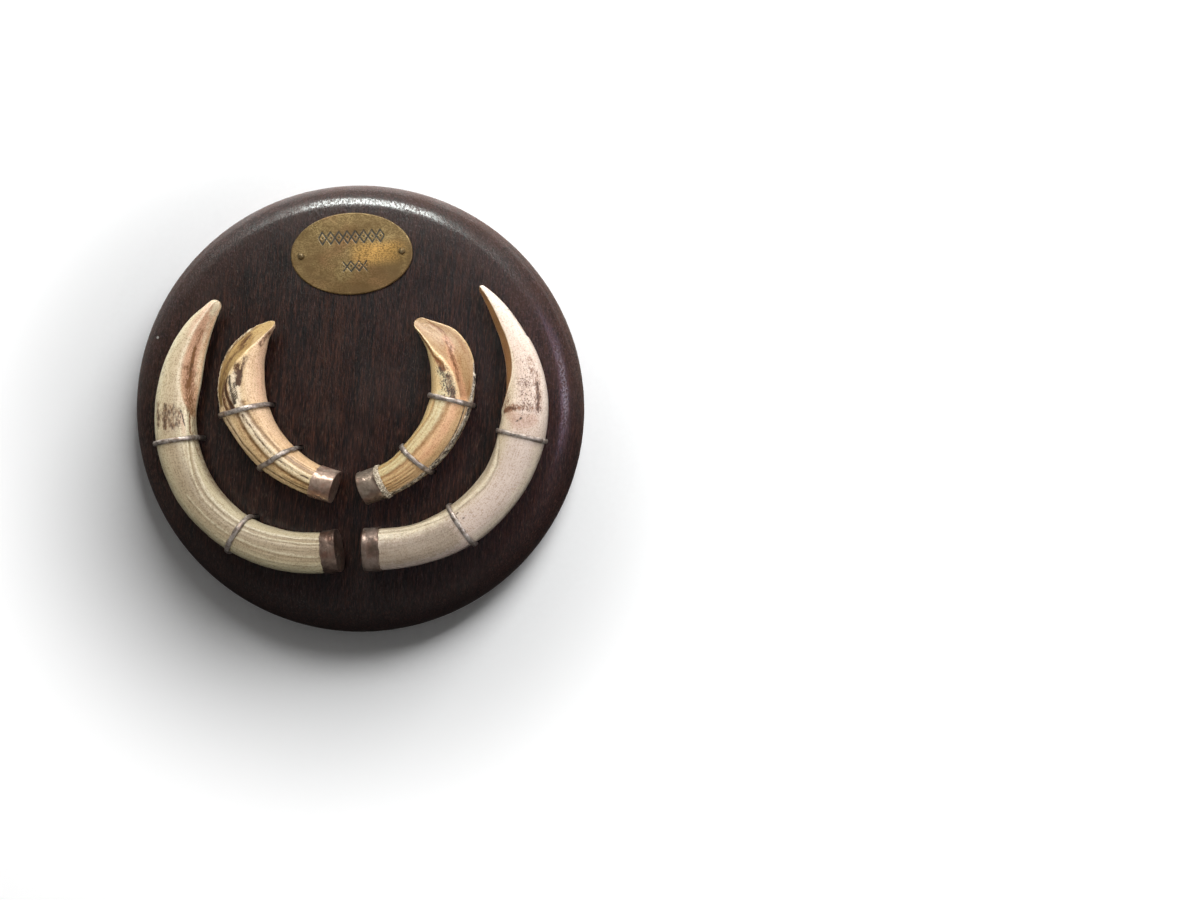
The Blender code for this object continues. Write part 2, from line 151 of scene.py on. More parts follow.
# Worn facets. Each row holds a distance from the tip, then the places round the section, in
# degrees from the outer bend over the front, where the facet's crest and its foot lie.
OUTER_LEFT_FACET = [
    (0.0, 84.0, 205.0),
    (6.0, 91.0, 200.0),
    (16.0, 96.0, 195.0),
    (29.0, 97.0, 191.0),
    (36.0, 98.0, 190.0),
    (43.0, 103.0, 189.0),
    (49.0, 113.0, 188.0),
    (54.0, 130.0, 188.0),
    (60.0, 156.0, 190.0),
]
OUTER_RIGHT_FACET = [
    (0.0, 98.0, 210.0),
    (13.0, 105.0, 200.0),
    (24.0, 110.0, 194.0),
    (33.0, 111.0, 190.0),
    (41.0, 117.0, 188.0),
    (49.0, 128.0, 188.0),
    (57.0, 148.0, 190.0),
    (64.0, 170.0, 195.0),
]
INNER_LEFT_FACET = [
    (0.0, 150.0, -5.0),
    (8.0, 129.0, -6.0),
    (12.0, 115.0, -6.0),
    (17.0, 101.0, -7.0),
    (23.0, 92.0, -7.0),
    (31.0, 81.0, -8.0),
    (44.0, 52.0, -10.0),
]
INNER_RIGHT_FACET = [
    (0.0, 150.0, 0.0),
    (8.0, 137.0, -5.0),
    (19.0, 118.0, -11.0),
    (26.0, 99.0, -15.0),
    (32.0, 87.0, -14.0),
    (37.0, 79.0, -13.0),
    (44.0, 62.0, -12.0),
]

TIP_ROUND = 2.5
SHOULDER = 2.5
FACET_COLUMNS = 44
ROUND_COLUMNS = 112
RING_STEP = 0.55
SQUARENESS = 0.86
RIDGE_PLACE = math.radians(97.0)  # where the inner tusks' section has its front ridge

# Masks that the carving leaves on each tusk for its material to read.
MASKS = ("worn", "root", "rim", "groove", "ridge", "brown", "black", "blush", "speck", "crust")


def beside(points, degrees):
    """The same stroke, moved round the section."""
    return [(along, angle + degrees) for along, angle in points]


def along_at(angle, start, end):
    """A straight lengthwise stroke."""
    return [(start, angle), (end, angle)]


# Strokes of carving, wear and stain, and some of painted light and shade. Each holds its points
# (distance from the tip, place round the section in degrees), its half width in millimetres, and
# what it leaves: relief in millimetres, or a share of one of the masks.
OUTER_LEFT_GROOVE = [
    (72, 150), (80, 142), (92, 128), (105, 118), (120, 121), (135, 124), (154, 130), (178, 124)
]
OUTER_LEFT_LINE = [(100, 83), (120, 86), (134, 90), (158, 88), (178, 82)]
OUTER_RIGHT_GROOVE = [
    (84, 142), (96, 121), (110, 117), (120, 124), (133, 127), (148, 138), (165, 146), (180, 142)
]
INNER_LEFT_BAND = [
    (32, 83), (36, 88), (41, 91), (46, 91), (52, 92), (59, 96), (69, 97), (76, 96), (90, 95), (106, 93)
]
INNER_LEFT_TROUGH = [(46, 80), (51, 84), (58, 82), (65, 82), (72, 82), (84, 79), (106, 72)]
INNER_LEFT_TROUGH_HIGH = [(46, 101), (52, 104), (59, 108), (65, 113), (73, 116), (90, 115), (106, 113)]
INNER_RIGHT_BAND = [(44, 106), (50, 107), (57, 108), (65, 114), (75, 118), (90, 117), (106, 116)]
INNER_RIGHT_TROUGH = [(46, 87), (56, 90), (66, 94), (76, 96), (106, 96)]
INNER_RIGHT_TROUGH_HIGH = [(47, 126), (58, 128), (65, 137), (75, 142), (106, 140)]

STROKES = {
    "outer_left": [
        ([(5, 112), (17, 128), (24, 134), (33, 134), (42, 140), (52, 152)], 5.0, dict(blush=0.90)),
        ([(1, 140), (6, 146)], 2.6, dict(ridge=0.75)),
        ([(14, 134), (22, 138), (30, 140), (38, 142), (46, 146)], 2.2, dict(brown=0.36)),
        ([(26, 138), (33, 141), (39, 142), (46, 142)], 1.2, dict(brown=0.92)),
        ([(34, 141), (40, 142)], 0.6, dict(black=0.5)),
        # painted light: a pale band along the facet's right edge, where light falls on it
        ([(8, 152), (14, 160), (24, 166), (34, 170), (44, 172)], 1.6, dict(ridge=0.4)),
        ([(36, 136), (44, 146), (50, 154), (58, 164)], 4.2, dict(brown=0.56)),
        ([(56, 55), (65, 60)], 1.9, dict(speck=1.0, brown=0.38)),
        ([(61, 62), (62, 90), (62, 112)], 3.8, dict(speck=0.70, brown=0.28)),
        ([(56, 82), (67, 83)], 1.0, dict(speck=1.0, brown=0.58, black=0.46)),
        ([(57, 99), (66, 98)], 2.3, dict(speck=1.0, brown=0.38)),
        ([(58, 110), (66, 111)], 1.6, dict(speck=0.9, brown=0.28)),
        ([(57, 116), (66, 118)], 0.7, dict(brown=0.50)),
        ([(42, 60), (56, 80)], 4.0, dict(speck=0.35, brown=0.12)),
        ([(44, 92), (56, 98)], 3.0, dict(speck=0.30)),
        ([(58, 123), (62, 130), (66, 136)], 0.3, dict(black=1.0, relief=-0.25)),
        ([(60, 128), (71, 132)], 1.6, dict(blush=0.5)),
        ([(58, 139), (69, 144), (80, 142)], 1.3, dict(ridge=1.0, relief=0.08)),
        ([(58, 158), (63, 157), (70, 157), (76, 168), (84, 172)], 0.5, dict(relief=-0.2, brown=0.6)),
        ([(60, 174), (80, 182), (112, 186)], 3.6, dict(brown=0.36)),
        (OUTER_LEFT_GROOVE, 1.0, dict(relief=-0.45, groove=0.9)),
        (beside(OUTER_LEFT_GROOVE, -14), 0.7, dict(relief=-0.22, groove=0.5)),
        (beside(OUTER_LEFT_GROOVE, -7), 0.8, dict(relief=0.10, ridge=0.7)),
        (beside(OUTER_LEFT_GROOVE, 12), 1.4, dict(relief=0.10, ridge=0.6)),
        (OUTER_LEFT_LINE, 0.45, dict(relief=0.12, ridge=0.8)),
        (beside(OUTER_LEFT_LINE, -5), 0.5, dict(relief=-0.14, groove=0.5)),
        (beside(OUTER_LEFT_LINE, -26), 0.45, dict(relief=0.08, ridge=0.5)),
        *[(along_at(angle, 148 + 3 * i, 180), 0.35, dict(relief=-0.12, groove=0.5))
          for i, angle in enumerate((72, 79, 97, 104, 111, 134, 140))],
    ],
    "outer_right": [
        ([(34, 84), (60, 92)], 5.0, dict(blush=0.35)),
        ([(70, 120), (73, 95), (71, 75)], 3.6, dict(blush=1.0, brown=0.20)),
        ([(43, 64), (48, 64), (52, 58), (58, 58)], 2.2, dict(brown=0.32, speck=0.7)),
        ([(48, 62), (52, 57), (60, 58), (66, 59)], 2.6, dict(speck=1.0, brown=0.36)),
        ([(54, 57), (60, 58), (66, 59)], 1.0, dict(brown=0.60, black=0.50)),
        ([(52, 89), (60, 90), (66, 86)], 4.2, dict(speck=0.80, brown=0.14)),
        ([(40, 84), (50, 78)], 3.0, dict(speck=0.45)),
        ([(58, 140), (66, 142)], 3.0, dict(speck=0.6, brown=0.3)),
        ([(65, 158), (65, 120), (65.4, 100), (65, 82), (65.5, 62)], 2.2, dict(brown=0.42, speck=0.6)),
        ([(68, 150), (66.8, 128)], 1.7, dict(brown=0.8, black=0.45)),
        ([(66, 128), (66.5, 112)], 1.1, dict(brown=0.9, black=0.5)),
        ([(62, 188), (68, 182)], 2.6, dict(relief=0.7)),
        ([(70.4, 94), (71.2, 96)], 0.36, dict(black=1.0)),
        ([(72, 101), (72.6, 103)], 0.36, dict(black=0.9)),
        (OUTER_RIGHT_GROOVE, 0.6, dict(relief=-0.22, groove=0.6)),
        (beside(OUTER_RIGHT_GROOVE, 10), 1.4, dict(relief=0.06, ridge=0.6)),
        (beside(OUTER_RIGHT_GROOVE, 28), 3.0, dict(groove=0.40)),
        *[(along_at(angle, 158 + 3 * (i % 3), 182), 0.32, dict(relief=-0.12, groove=0.55))
          for i, angle in enumerate((132, 124, 116, 109, 102, 95))],
        # painted light and painted shade near the cap: a lighter band on top, a darker one across the middle
        ([(140, 138), (182, 132)], 3.6, dict(ridge=0.6)),
        ([(140, 80), (182, 72)], 6.5, dict(groove=0.95)),
        # painted light: lightens the lower outer side, which the lamps leave darker
        ([(84, 28), (128, 26)], 5.0, dict(ridge=0.5)),
        ([(129, 118), (130, 117)], 0.45, dict(black=0.8)),
        ([(128, 98), (128.6, 98)], 0.4, dict(black=0.7)),
        ([(34, 176), (46, 176), (60, 182)], 1.6, dict(brown=0.40)),
    ],
    "inner_left": [
        ([(16, 160), (30, 172), (46, 168)], 4.5, dict(blush=0.6)),
        ([(5, 166), (9, 150), (13, 136)], 1.9, dict(brown=0.45, blush=1.0)),
        ([(13, 34), (18, 40)], 1.7, dict(brown=0.70)),
        ([(18, 56), (21, 49), (26, 40), (30, 31), (36, 24)], 2.0, dict(brown=0.50)),
        ([(12, 14), (22, 8), (32, 6), (42, 14)], 0.8, dict(brown=0.45)),
        ([(32, 44), (38, 52), (44, 60)], 1.6, dict(brown=0.55)),
        (INNER_LEFT_BAND, 1.9, dict(relief=0.30, ridge=1.0)),
        ([(27.5, 90), (30.5, 97)], 1.6, dict(brown=0.76, speck=0.5, relief=-0.12)),
        ([(30, 98), (33, 99), (36.5, 97)], 1.2, dict(brown=0.92, black=0.42, relief=-0.2)),
        ([(22, 104), (28, 102), (32, 101)], 1.1, dict(brown=0.55, speck=0.3)),
        ([(34, 72), (37, 70), (40, 73), (45, 78), (48, 79)], 1.0, dict(brown=1.0, black=0.55, relief=-0.25)),
        ([(36, 58), (40, 60), (44, 62), (47, 64)], 1.3, dict(brown=0.85)),
        ([(33, 80), (36, 82), (39, 85), (42, 87), (46, 88)], 0.5, dict(black=1.0, relief=-0.5)),
        ([(36, 90), (40, 93), (44, 93)], 0.35, dict(black=0.85, relief=-0.3)),
        (INNER_LEFT_BAND[4:], 0.4, dict(relief=-0.28, brown=0.55, black=0.25)),
        (INNER_LEFT_TROUGH, 0.9, dict(relief=-0.50, groove=1.0, brown=0.40)),
        (beside(INNER_LEFT_TROUGH, -9), 1.6, dict(relief=-0.16, groove=0.45)),
        # a real trough, darkened partly as painted shade
        (INNER_LEFT_TROUGH_HIGH, 1.0, dict(relief=-0.45, groove=0.85, brown=0.20)),
        (beside(INNER_LEFT_TROUGH_HIGH, 16), 1.0, dict(relief=-0.10, groove=0.30)),
        (
            [(48, 40), (55, 43), (62, 44), (68, 48), (76, 46), (106, 46)], 0.9,
            dict(relief=-0.15, brown=0.50, groove=0.6)
        ),
        ([(10, -5), (22, -6), (32, -7), (40, -7), (46, 0)], 1.5, dict(crust=0.75)),
        ([(46, 0), (62, -4), (78, 0), (106, 4)], 1.4, dict(crust=0.55)),
        *[(along_at(angle, 82 + 2 * (i % 4), 106), 0.4, dict(relief=-0.22, groove=0.7, brown=0.30))
          for i, angle in enumerate((122, 132, 58, 32))],
    ],
    "inner_right": [
        ([(30, 72), (36, 60), (43, 44)], 3.8, dict(blush=1.0, relief=-0.15)),
        ([(17, 46), (21, 50), (24, 60), (30, 61), (36, 62)], 2.1, dict(blush=0.9, brown=0.44)),
        ([(21, 50), (24, 60), (30, 61)], 1.3, dict(brown=0.75)),
        ([(7, 20), (13, 27), (18, 50), (22, 55)], 1.1, dict(relief=-0.20, brown=0.38)),
        ([(6, 158), (14, 139), (22, 126), (28, 111)], 1.3, dict(brown=0.75, relief=-0.15)),
        ([(24, 122), (28, 110), (31, 104)], 1.5, dict(brown=0.85, relief=-0.25)),
        ([(31, 114), (34, 103), (38, 96), (44, 90)], 3.0, dict(speck=1.0, ridge=0.7)),
        ([(35, 94), (40, 88), (45, 78)], 1.5, dict(black=0.34, brown=0.55, speck=1.0, relief=-0.2)),
        ([(30, 112), (34, 106)], 1.3, dict(black=0.45, speck=1.0)),
        ([(47, 70), (53, 72), (64, 75), (76, 75)], 3.2, dict(blush=0.7)),
        (INNER_RIGHT_BAND, 2.9, dict(ridge=0.85, relief=0.18)),
        (INNER_RIGHT_BAND, 0.5, dict(relief=-0.22, groove=0.5)),
        (INNER_RIGHT_TROUGH, 0.8, dict(relief=-0.36, groove=0.8)),
        (INNER_RIGHT_TROUGH_HIGH, 1.0, dict(relief=-0.26, groove=0.6)),
        ([(30, -16), (36, -10), (42, -4), (47, 3)], 1.2, dict(crust=1.0)),
        ([(46, 4), (52, 7), (60, 8), (70, 8), (78, 9)], 2.6, dict(crust=1.0)),
        ([(78, 10), (90, 8), (106, 8)], 2.6, dict(crust=0.85)),
        ([(46, 33), (49, 33), (55, 29), (63, 26), (70, 25), (77, 24)], 0.5, dict(black=0.8, relief=-0.35)),
        *[(along_at(angle, 80 + 2 * (i % 4), 106), 0.4, dict(relief=-0.24, groove=0.7, brown=0.22))
          for i, angle in enumerate((82, 70, 56, 42, 148))],
    ],
}

# One entry per tusk: spine, facet and where it ends, the side its outer bend faces, how far
# its section is a rounded triangle, its height above the board, its cap's length, where its
# hoops cross it (distance from the tip and slant), how hollow its facet is, how softly its crest
# is worn, in form and in colour, and between which distances its ivory darkens.
TUSKS = {
    "outer_left": dict(
        spine=OUTER_LEFT, facet=OUTER_LEFT_FACET, facet_end=60.0, side=1, triangular=0.0,
        height=8.9, cap=7.2, hoops=[(73.0, 0.0), (129.0, 0.0)],
        hollow=0.1, crest_round=30, soft_edge=9, darkens=(52, 95),
    ),
    "outer_right": dict(
        spine=OUTER_RIGHT, facet=OUTER_RIGHT_FACET, facet_end=64.0, side=-1, triangular=0.0,
        height=8.9, cap=8.2, hoops=[(79.0, 0.0), (132.0, 0.0)],
        hollow=0.15, crest_round=12, soft_edge=2, darkens=(62, 86),
    ),
    "inner_left": dict(
        spine=INNER_LEFT, facet=INNER_LEFT_FACET, facet_end=44.0, side=1, triangular=0.07,
        height=8.7, cap=10.3, hoops=[(49.5, 1.7), (78.3, 3.4)],
        hollow=0.45, crest_round=6, soft_edge=3, darkens=(45, 100),
    ),
    "inner_right": dict(
        spine=INNER_RIGHT, facet=INNER_RIGHT_FACET, facet_end=43.0, side=-1, triangular=0.07,
        height=8.7, cap=9.6, hoops=[(46.0, 0.0), (79.5, 0.6)],
        hollow=0.9, crest_round=8, soft_edge=4, darkens=(45, 100),
    ),
}


def smooth_read(stations, table, at):
    """A table read as a smooth curve at many places at once."""
    slopes = np.gradient(table, stations, axis=0)
    i = np.clip(np.searchsorted(stations, at) - 1, 0, len(stations) - 2)
    span = (stations[i + 1] - stations[i])[:, None]
    t = (at[:, None] - stations[i][:, None]) / span
    start = (1 + 2 * t) * (1 - t) ** 2 * table[i] + t * (1 - t) ** 2 * span * slopes[i]
    end = t * t * (3 - 2 * t) * table[i + 1] - t * t * (1 - t) * span * slopes[i + 1]
    return start + end


def value_noise(u, v, seed, size=64):
    """Smooth noise in -1..1 on a plane that repeats every size steps."""
    lattice = np.random.default_rng(seed).random((size, size)) * 2 - 1
    iu, iv = np.floor(u).astype(int), np.floor(v).astype(int)
    fu, fv = u - iu, v - iv
    fu, fv = fu * fu * (3 - 2 * fu), fv * fv * (3 - 2 * fv)
    a, b = lattice[iu % size, iv % size], lattice[(iu + 1) % size, iv % size]
    c, d = lattice[iu % size, (iv + 1) % size], lattice[(iu + 1) % size, (iv + 1) % size]
    return (a * (1 - fu) + b * fu) * (1 - fv) + (c * (1 - fu) + d * fu) * fv


def rough_noise(u, v, seed, octaves=3):
    """Several sizes of smooth noise together."""
    total = np.zeros(np.broadcast(u, v).shape)
    for octave in range(octaves):
        total += value_noise(u * 2**octave, v * 2**octave, seed + octave) / 2**octave
    return total


class TuskForm:
    """A tusk's form: its spine, its section anywhere along it, its facet and its carving."""

    def __init__(
        self, name, spine, facet, facet_end, side, triangular, height, cap, hoops, hollow, crest_round,
        soft_edge,
        darkens,
    ):
        self.name = name
        self.table = np.array(spine)
        steps = np.hypot(*np.diff(self.table[:, :2], axis=0).T)
        self.stations = np.concatenate([[0.0], np.cumsum(steps)])
        self.length = self.stations[-1]
        self.facet = np.array(facet)
        self.facet_end = facet_end
        self.side = side
        self.triangular = triangular
        self.height = height
        self.cap = cap
        self.hoops = hoops
        self.hollow = hollow
        self.crest_round = crest_round
        self.soft_edge = soft_edge
        self.darkens = darkens
        fine = np.radians(np.arange(0, 360, 2))
        self.widest = np.abs(self.outline(fine)).max(axis=0)

    def rows(self, along):
        return smooth_read(self.stations, self.table, along)

    def frames(self, along):
        """Spine points and directions of the outer bend, on the board's plane."""
        ahead = self.rows(along + 0.5)[:, :2] - self.rows(along - 0.5)[:, :2]
        ahead /= np.linalg.norm(ahead, axis=1, keepdims=True)
        return self.rows(along)[:, :2], self.side * np.stack([ahead[:, 1], -ahead[:, 0]], axis=-1)

    def facet_angles(self, along):
        at = np.clip(along, 0.0, self.facet[-1, 0])
        return np.radians(smooth_read(self.facet[:, 0], self.facet[:, 1:], at)).T

    def outline(self, angles):
        """The unit section: a squared ellipse, or a rounded triangle with its ridge in front."""
        x = np.sign(np.cos(angles)) * np.abs(np.cos(angles)) ** SQUARENESS
        y = np.sign(np.sin(angles)) * np.abs(np.sin(angles)) ** SQUARENESS
        lift = 1 + self.triangular * np.cos(3 * (angles - RIDGE_PLACE))
        return np.stack([x * lift, y * lift], axis=-1)

    def section(self, along, angles, offset=0.0):
        """Section points (across, out) at these places and angles, pushed out by an offset."""
        size = self.rows(along)[:, None, 2:] / self.widest
        small = 0.02
        run = (self.outline(angles + small) - self.outline(angles - small)) * size
        normal = np.stack([run[..., 1], -run[..., 0]], axis=-1)
        normal /= np.linalg.norm(normal, axis=-1, keepdims=True)
        return self.outline(angles) * size + normal * np.asarray(offset)[..., None]

    def place(self, along, pairs):
        """World points, in metres, for (across, out) pairs of the sections there."""
        middle, outer = self.frames(along)
        flat = middle[:, None, :] + outer[:, None, :] * pairs[..., :1]
        out = BOARD_THICKNESS + self.height + pairs[..., 1]
        return np.stack([flat[..., 0], -out, flat[..., 1]], axis=-1) * MM

    def columns(self, along):
        """Each ring's angles: across the facet from its crest, then the rest of the way round."""
        crest, foot = self.facet_angles(along)
        turn = np.copysign(2 * math.pi, foot - crest)
        share = np.arange(FACET_COLUMNS) / FACET_COLUMNS
        across = crest[:, None] * (1 - share) + foot[:, None] * share
        share = np.arange(ROUND_COLUMNS) / ROUND_COLUMNS
        around = foot[:, None] * (1 - share) + (crest + turn)[:, None] * share
        return np.concatenate([across, around], axis=1)


def stroke_depth(form, along, angles, points, width):
    """How strongly a stroke marks each vertex: 1 on its line, fading over its half width."""
    radius = form.rows(along)[:, 2:].mean(axis=1)[:, None]
    nearest = np.full(angles.shape, 1e9)
    for (s0, a0), (s1, a1) in zip(points, points[1:]):
        du = along[:, None] - s0
        dv = (np.degrees(angles) - a0 + 180) % 360 - 180
        dv = np.radians(dv) * radius
        eu, ev = s1 - s0, math.radians(a1 - a0) * radius
        t = np.clip((du * eu + dv * ev) / (eu * eu + ev * ev), 0, 1)
        nearest = np.minimum(nearest, np.hypot(du - t * eu, dv - t * ev))
    return np.exp(-((nearest / width) ** 2))


def carve_tusk(form):
    """The tusk's rings of points and its masks, from the rounded tip to the cut root."""
    root = form.length - 1.1
    along = np.concatenate([
        TIP_ROUND * (1 - np.cos(np.linspace(0.12, math.pi / 2, 9)[:-1])),
        np.linspace(TIP_ROUND, root, round((root - TIP_ROUND) / RING_STEP)),
    ])
    angles = form.columns(along)
    points = form.section(along, angles)

    worn = np.clip((form.facet_end + SHOULDER - along) / SHOULDER, 0, 1)
    worn = (worn * worn * (3 - 2 * worn))[:, None]
    share = np.arange(FACET_COLUMNS) / FACET_COLUMNS
    chord = points[:, :1] * (1 - share)[:, None] + points[:, FACET_COLUMNS, None] * share[:, None]
    run = points[:, FACET_COLUMNS] - points[:, 0]
    inwards = np.stack([-run[:, 1], run[:, 0]], axis=-1) / np.linalg.norm(run, axis=1, keepdims=True)
    inwards *= -np.sign((inwards * points[:, FACET_COLUMNS // 2]).sum(axis=1, keepdims=True))
    size = np.clip(np.linalg.norm(run, axis=1) / 12.0, 0, 1)[:, None]
    chord += inwards[:, None] * (4 * share * (1 - share) * form.hollow * size)[..., None]
    points[:, :FACET_COLUMNS] += (chord - points[:, :FACET_COLUMNS]) * worn[..., None]

    # The crest and the facet's foot are worn round: the ring is eased only near them.
    index = np.arange(angles.shape[1])
    from_crest = np.minimum(index, angles.shape[1] - index)
    from_foot = np.abs(index - FACET_COLUMNS)
    ease = np.exp(-((np.minimum(from_crest, from_foot) / 5.0) ** 2))[None, :, None] * 0.5
    for _ in range(form.crest_round):
        middle = (np.roll(points, 1, axis=1) + np.roll(points, -1, axis=1)) / 2
        points += (middle - points) * ease

    masks = {name: np.zeros(angles.shape) for name in MASKS}
    facet = slice(1, FACET_COLUMNS)
    masks["worn"][:, facet] = np.clip(from_crest[facet] / form.soft_edge, 0, 1)
    masks["worn"] *= worn
    # painted shade: the ivory darkens towards the root, low on the board, where the light falls off
    masks["root"] += np.clip(np.interp(along, form.darkens, (0, 1)), 0, 1)[:, None]
    # painted highlight: a pale line along the facet's crest and foot
    masks["rim"] += np.exp(-((from_crest / 2.2) ** 2))[None, :] * worn
    masks["rim"] += 0.8 * np.exp(-((from_foot / 2.6) ** 2))[None, :] * worn
    relief = np.zeros(angles.shape)
    for stroke, width, effects in STROKES[form.name]:
        depth = stroke_depth(form, along, angles, stroke, width)
        for effect, amount in effects.items():
            if effect == "relief":
                relief += depth * amount
            else:
                masks[effect] = np.maximum(masks[effect], depth * amount)

    turn = angles / (2 * math.pi) * 64
    plain = 1 - 0.75 * masks["worn"]
    relief += 0.045 * rough_noise(along[:, None] / 22, turn, 11) * plain
    relief += 0.030 * value_noise(along[:, None] / 9, turn * 2, 23) * plain
    relief += 0.10 * rough_noise(along[:, None] / 9, turn / 8, 37, 2)
    crumbs = rough_noise(along[:, None] / 1.1, turn, 51)
    relief += masks["crust"] * (0.42 * crumbs - 0.10)
    relief += masks["speck"] * 0.05 * value_noise(along[:, None] * 1.6, turn * 1.6, 61)
    if form.name == "outer_right":  # its bend is chipped back towards the tip
        step = np.clip((33.0 - along) / 1.2, 0, 1)[:, None]
        edge = np.exp(-(((np.degrees(angles) + 180) % 360 - 180 - 8) / 36) ** 2)
        relief -= 0.45 * step * edge
    relief *= np.clip(along / TIP_ROUND, 0, 1)[:, None]

    normal = form.section(along, angles, 1.0) - form.section(along, angles)
    points += normal * relief[..., None]
    tip = np.clip(along / TIP_ROUND, 0, 1)
    points *= np.sqrt(1 - (1 - tip) ** 2)[:, None, None]

    lay = np.concatenate([points, np.broadcast_to(along[:, None, None], points.shape[:2] + (1,))], axis=-1)
    masks["bend"] = points[..., 0] / form.rows(along)[:, 2][:, None]
    return form.place(along, points), masks, lay * MM


# ------------------------------------------------------------------ meshes


def add_piece(name, mesh, material, slot, *nodes):
    """A finished piece: linked, given its material, and set in place of its CAD nodes."""
    piece = bpy.data.objects.new(name, mesh)
    bpy.context.scene.collection.objects.link(piece)
    mesh.materials.clear()
    mesh.materials.append(material)
    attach(piece, BODY)
    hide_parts(*nodes)
    return piece


def point_outwards(mesh):
    form = bmesh.new()
    form.from_mesh(mesh)
    bmesh.ops.recalc_face_normals(form, faces=form.faces)
    form.to_mesh(mesh)
    form.free()


def grid_mesh(name, rings, sharp=None):
    """Closed mesh from rings of world points of equal length, with a fan over each end."""
    count = rings.shape[1]
    points = rings.reshape(-1, 3)
    last = len(points) - count
    here = np.arange(len(points) - count).reshape(-1, count)
    nxt = np.roll(here, -1, axis=1)
    faces = np.stack([here, nxt, nxt + count, here + count], axis=-1).reshape(-1, 4).tolist()
    points = np.concatenate([points, [rings[0].mean(axis=0)], [rings[-1].mean(axis=0)]])
    for start, hub in ((0, len(points) - 2), (last, len(points) - 1)):
        faces += [(hub, start + c, start + (c + 1) % count) for c in range(count)]
    mesh = bpy.data.meshes.new(name)
    mesh.from_pydata(points.tolist(), [], faces)
    point_outwards(mesh)
    mesh.shade_smooth()
    if sharp:
        mesh.set_sharp_from_angle(angle=math.radians(sharp))
    return mesh


def write_layer(mesh, name, values):
    """A named number or vector for each vertex."""
    values = np.asarray(values, dtype=np.float32)
    kind, field = ("FLOAT_VECTOR", "vector") if values.ndim == 2 else ("FLOAT", "value")
    layer = mesh.attributes.new(name, kind, "POINT")
    layer.data.foreach_set(field, values.ravel())


def write_mask(mesh, name, values):
    """A layer from a grid of values; the two end hubs take their ring's first value."""
    listed = values.reshape(-1, *values.shape[2:])
    write_layer(mesh, name, np.concatenate([listed, values[0, :1], values[-1, :1]]))


def turned_mesh(name, profile, steps):
    """A turned form: (radius, height) in metres, screwed round Z and made a plain mesh."""
    mesh = bpy.data.meshes.new(name)
    mesh.from_pydata([(r, 0.0, h) for r, h in profile], [(i, i + 1) for i in range(len(profile) - 1)], [])
    thing = bpy.data.objects.new(name, mesh)
    bpy.context.scene.collection.objects.link(thing)
    screw = thing.modifiers.new("turn", "SCREW")
    screw.steps = screw.render_steps = steps
    screw.use_merge_vertices = True
    screw.merge_threshold = 0.00002
    screw.use_smooth_shade = True
    graph = bpy.context.evaluated_depsgraph_get()
    made = bpy.data.meshes.new_from_object(thing.evaluated_get(graph))
    bpy.data.objects.remove(thing, do_unlink=True)
    made.name = name
    return made


def stand_up(mesh):
    """From lying on the bench to upright on the wall."""
    for vertex in mesh.vertices:
        x, y, z = vertex.co
        vertex.co = (x, -z, y)
    mesh.update()


def arc_points(centre, start, end, radii, count):
    """(radius, height) points of an elliptic arc, angles in degrees, without the first."""
    turns = np.radians(np.linspace(start, end, count + 1)[1:])
    return [(centre[0] + radii[0] * math.cos(t), centre[1] + radii[1] * math.sin(t)) for t in turns]


# ------------------------------------------------------------------ shader kit


def put(tree, socket, value):
    """Joins a socket to another, or sets it."""
    if isinstance(value, bpy.types.NodeSocket):
        tree.links.new(value, socket)
    elif value is not None:
        if socket.type == "RGBA" and len(value) == 3:
            value = (*value, 1.0)
        socket.default_value = value


def node(tree, kind, values=None, **settings):
    made = tree.nodes.new(kind)
    for key, value in settings.items():
        setattr(made, key, value)
    for key, value in (values or {}).items():
        put(tree, made.inputs[key], value)
    return made


def blend_colour(tree, factor, first, second, how="MIX"):
    made = node(tree, "ShaderNodeMix", data_type="RGBA", blend_type=how, clamp_factor=True)
    for index, value in ((0, factor), (6, first), (7, second)):
        put(tree, made.inputs[index], value)
    return made.outputs[2]


def math_node(tree, operation, first, second=None, clamp=False):
    made = node(tree, "ShaderNodeMath", operation=operation, use_clamp=clamp)
    for socket, value in zip(made.inputs, (first, second)):
        put(tree, socket, value)
    return made.outputs[0]


def times(tree, first, second, clamp=False):
    return math_node(tree, "MULTIPLY", first, second, clamp=clamp)


def plus(tree, first, second):
    return math_node(tree, "ADD", first, second)


def minus(tree, first, second):
    return math_node(tree, "SUBTRACT", first, second)


def remap(tree, value, low, high, new_low=0.0, new_high=1.0, smooth=True):
    made = node(
        tree, "ShaderNodeMapRange",
        {"Value": value, "From Min": low, "From Max": high, "To Min": new_low, "To Max": new_high},
        interpolation_type="SMOOTHSTEP" if smooth else "LINEAR",
    )
    return made.outputs[0]


def stretched(tree, vector, scale, turn=(0.0, 0.0, 0.0)):
    made = node(tree, "ShaderNodeMapping", {"Vector": vector, "Scale": scale, "Rotation": turn})
    return made.outputs[0]


def noise(tree, vector, scale, detail=3.0, rough=0.55, warp=0.0):
    made = node(
        tree, "ShaderNodeTexNoise",
        {"Vector": vector, "Scale": scale, "Detail": detail, "Roughness": rough, "Distortion": warp},
    )
    return made.outputs[0]


def stretched_noise(tree, vector, scale, detail=3.0, rough=0.55, warp=0.0, turn=(0.0, 0.0, 0.0)):
    """Noise whose grain is drawn out: the scale is one number for each axis."""
    return noise(tree, stretched(tree, vector, scale, turn), 1.0, detail, rough, warp)


def mask(tree, name, output="Fac"):
    return node(tree, "ShaderNodeAttribute", attribute_name=name, attribute_type="GEOMETRY").outputs[output]


def own_coordinates(tree):
    return node(tree, "ShaderNodeTexCoord").outputs["Object"]


SOCKETS = {
    "value": "NodeSocketFloat",
    "whole": "NodeSocketInt",
    "colour": "NodeSocketColor",
    "vector": "NodeSocketVector",
    "geometry": "NodeSocketGeometry",
    "material": "NodeSocketMaterial",
}


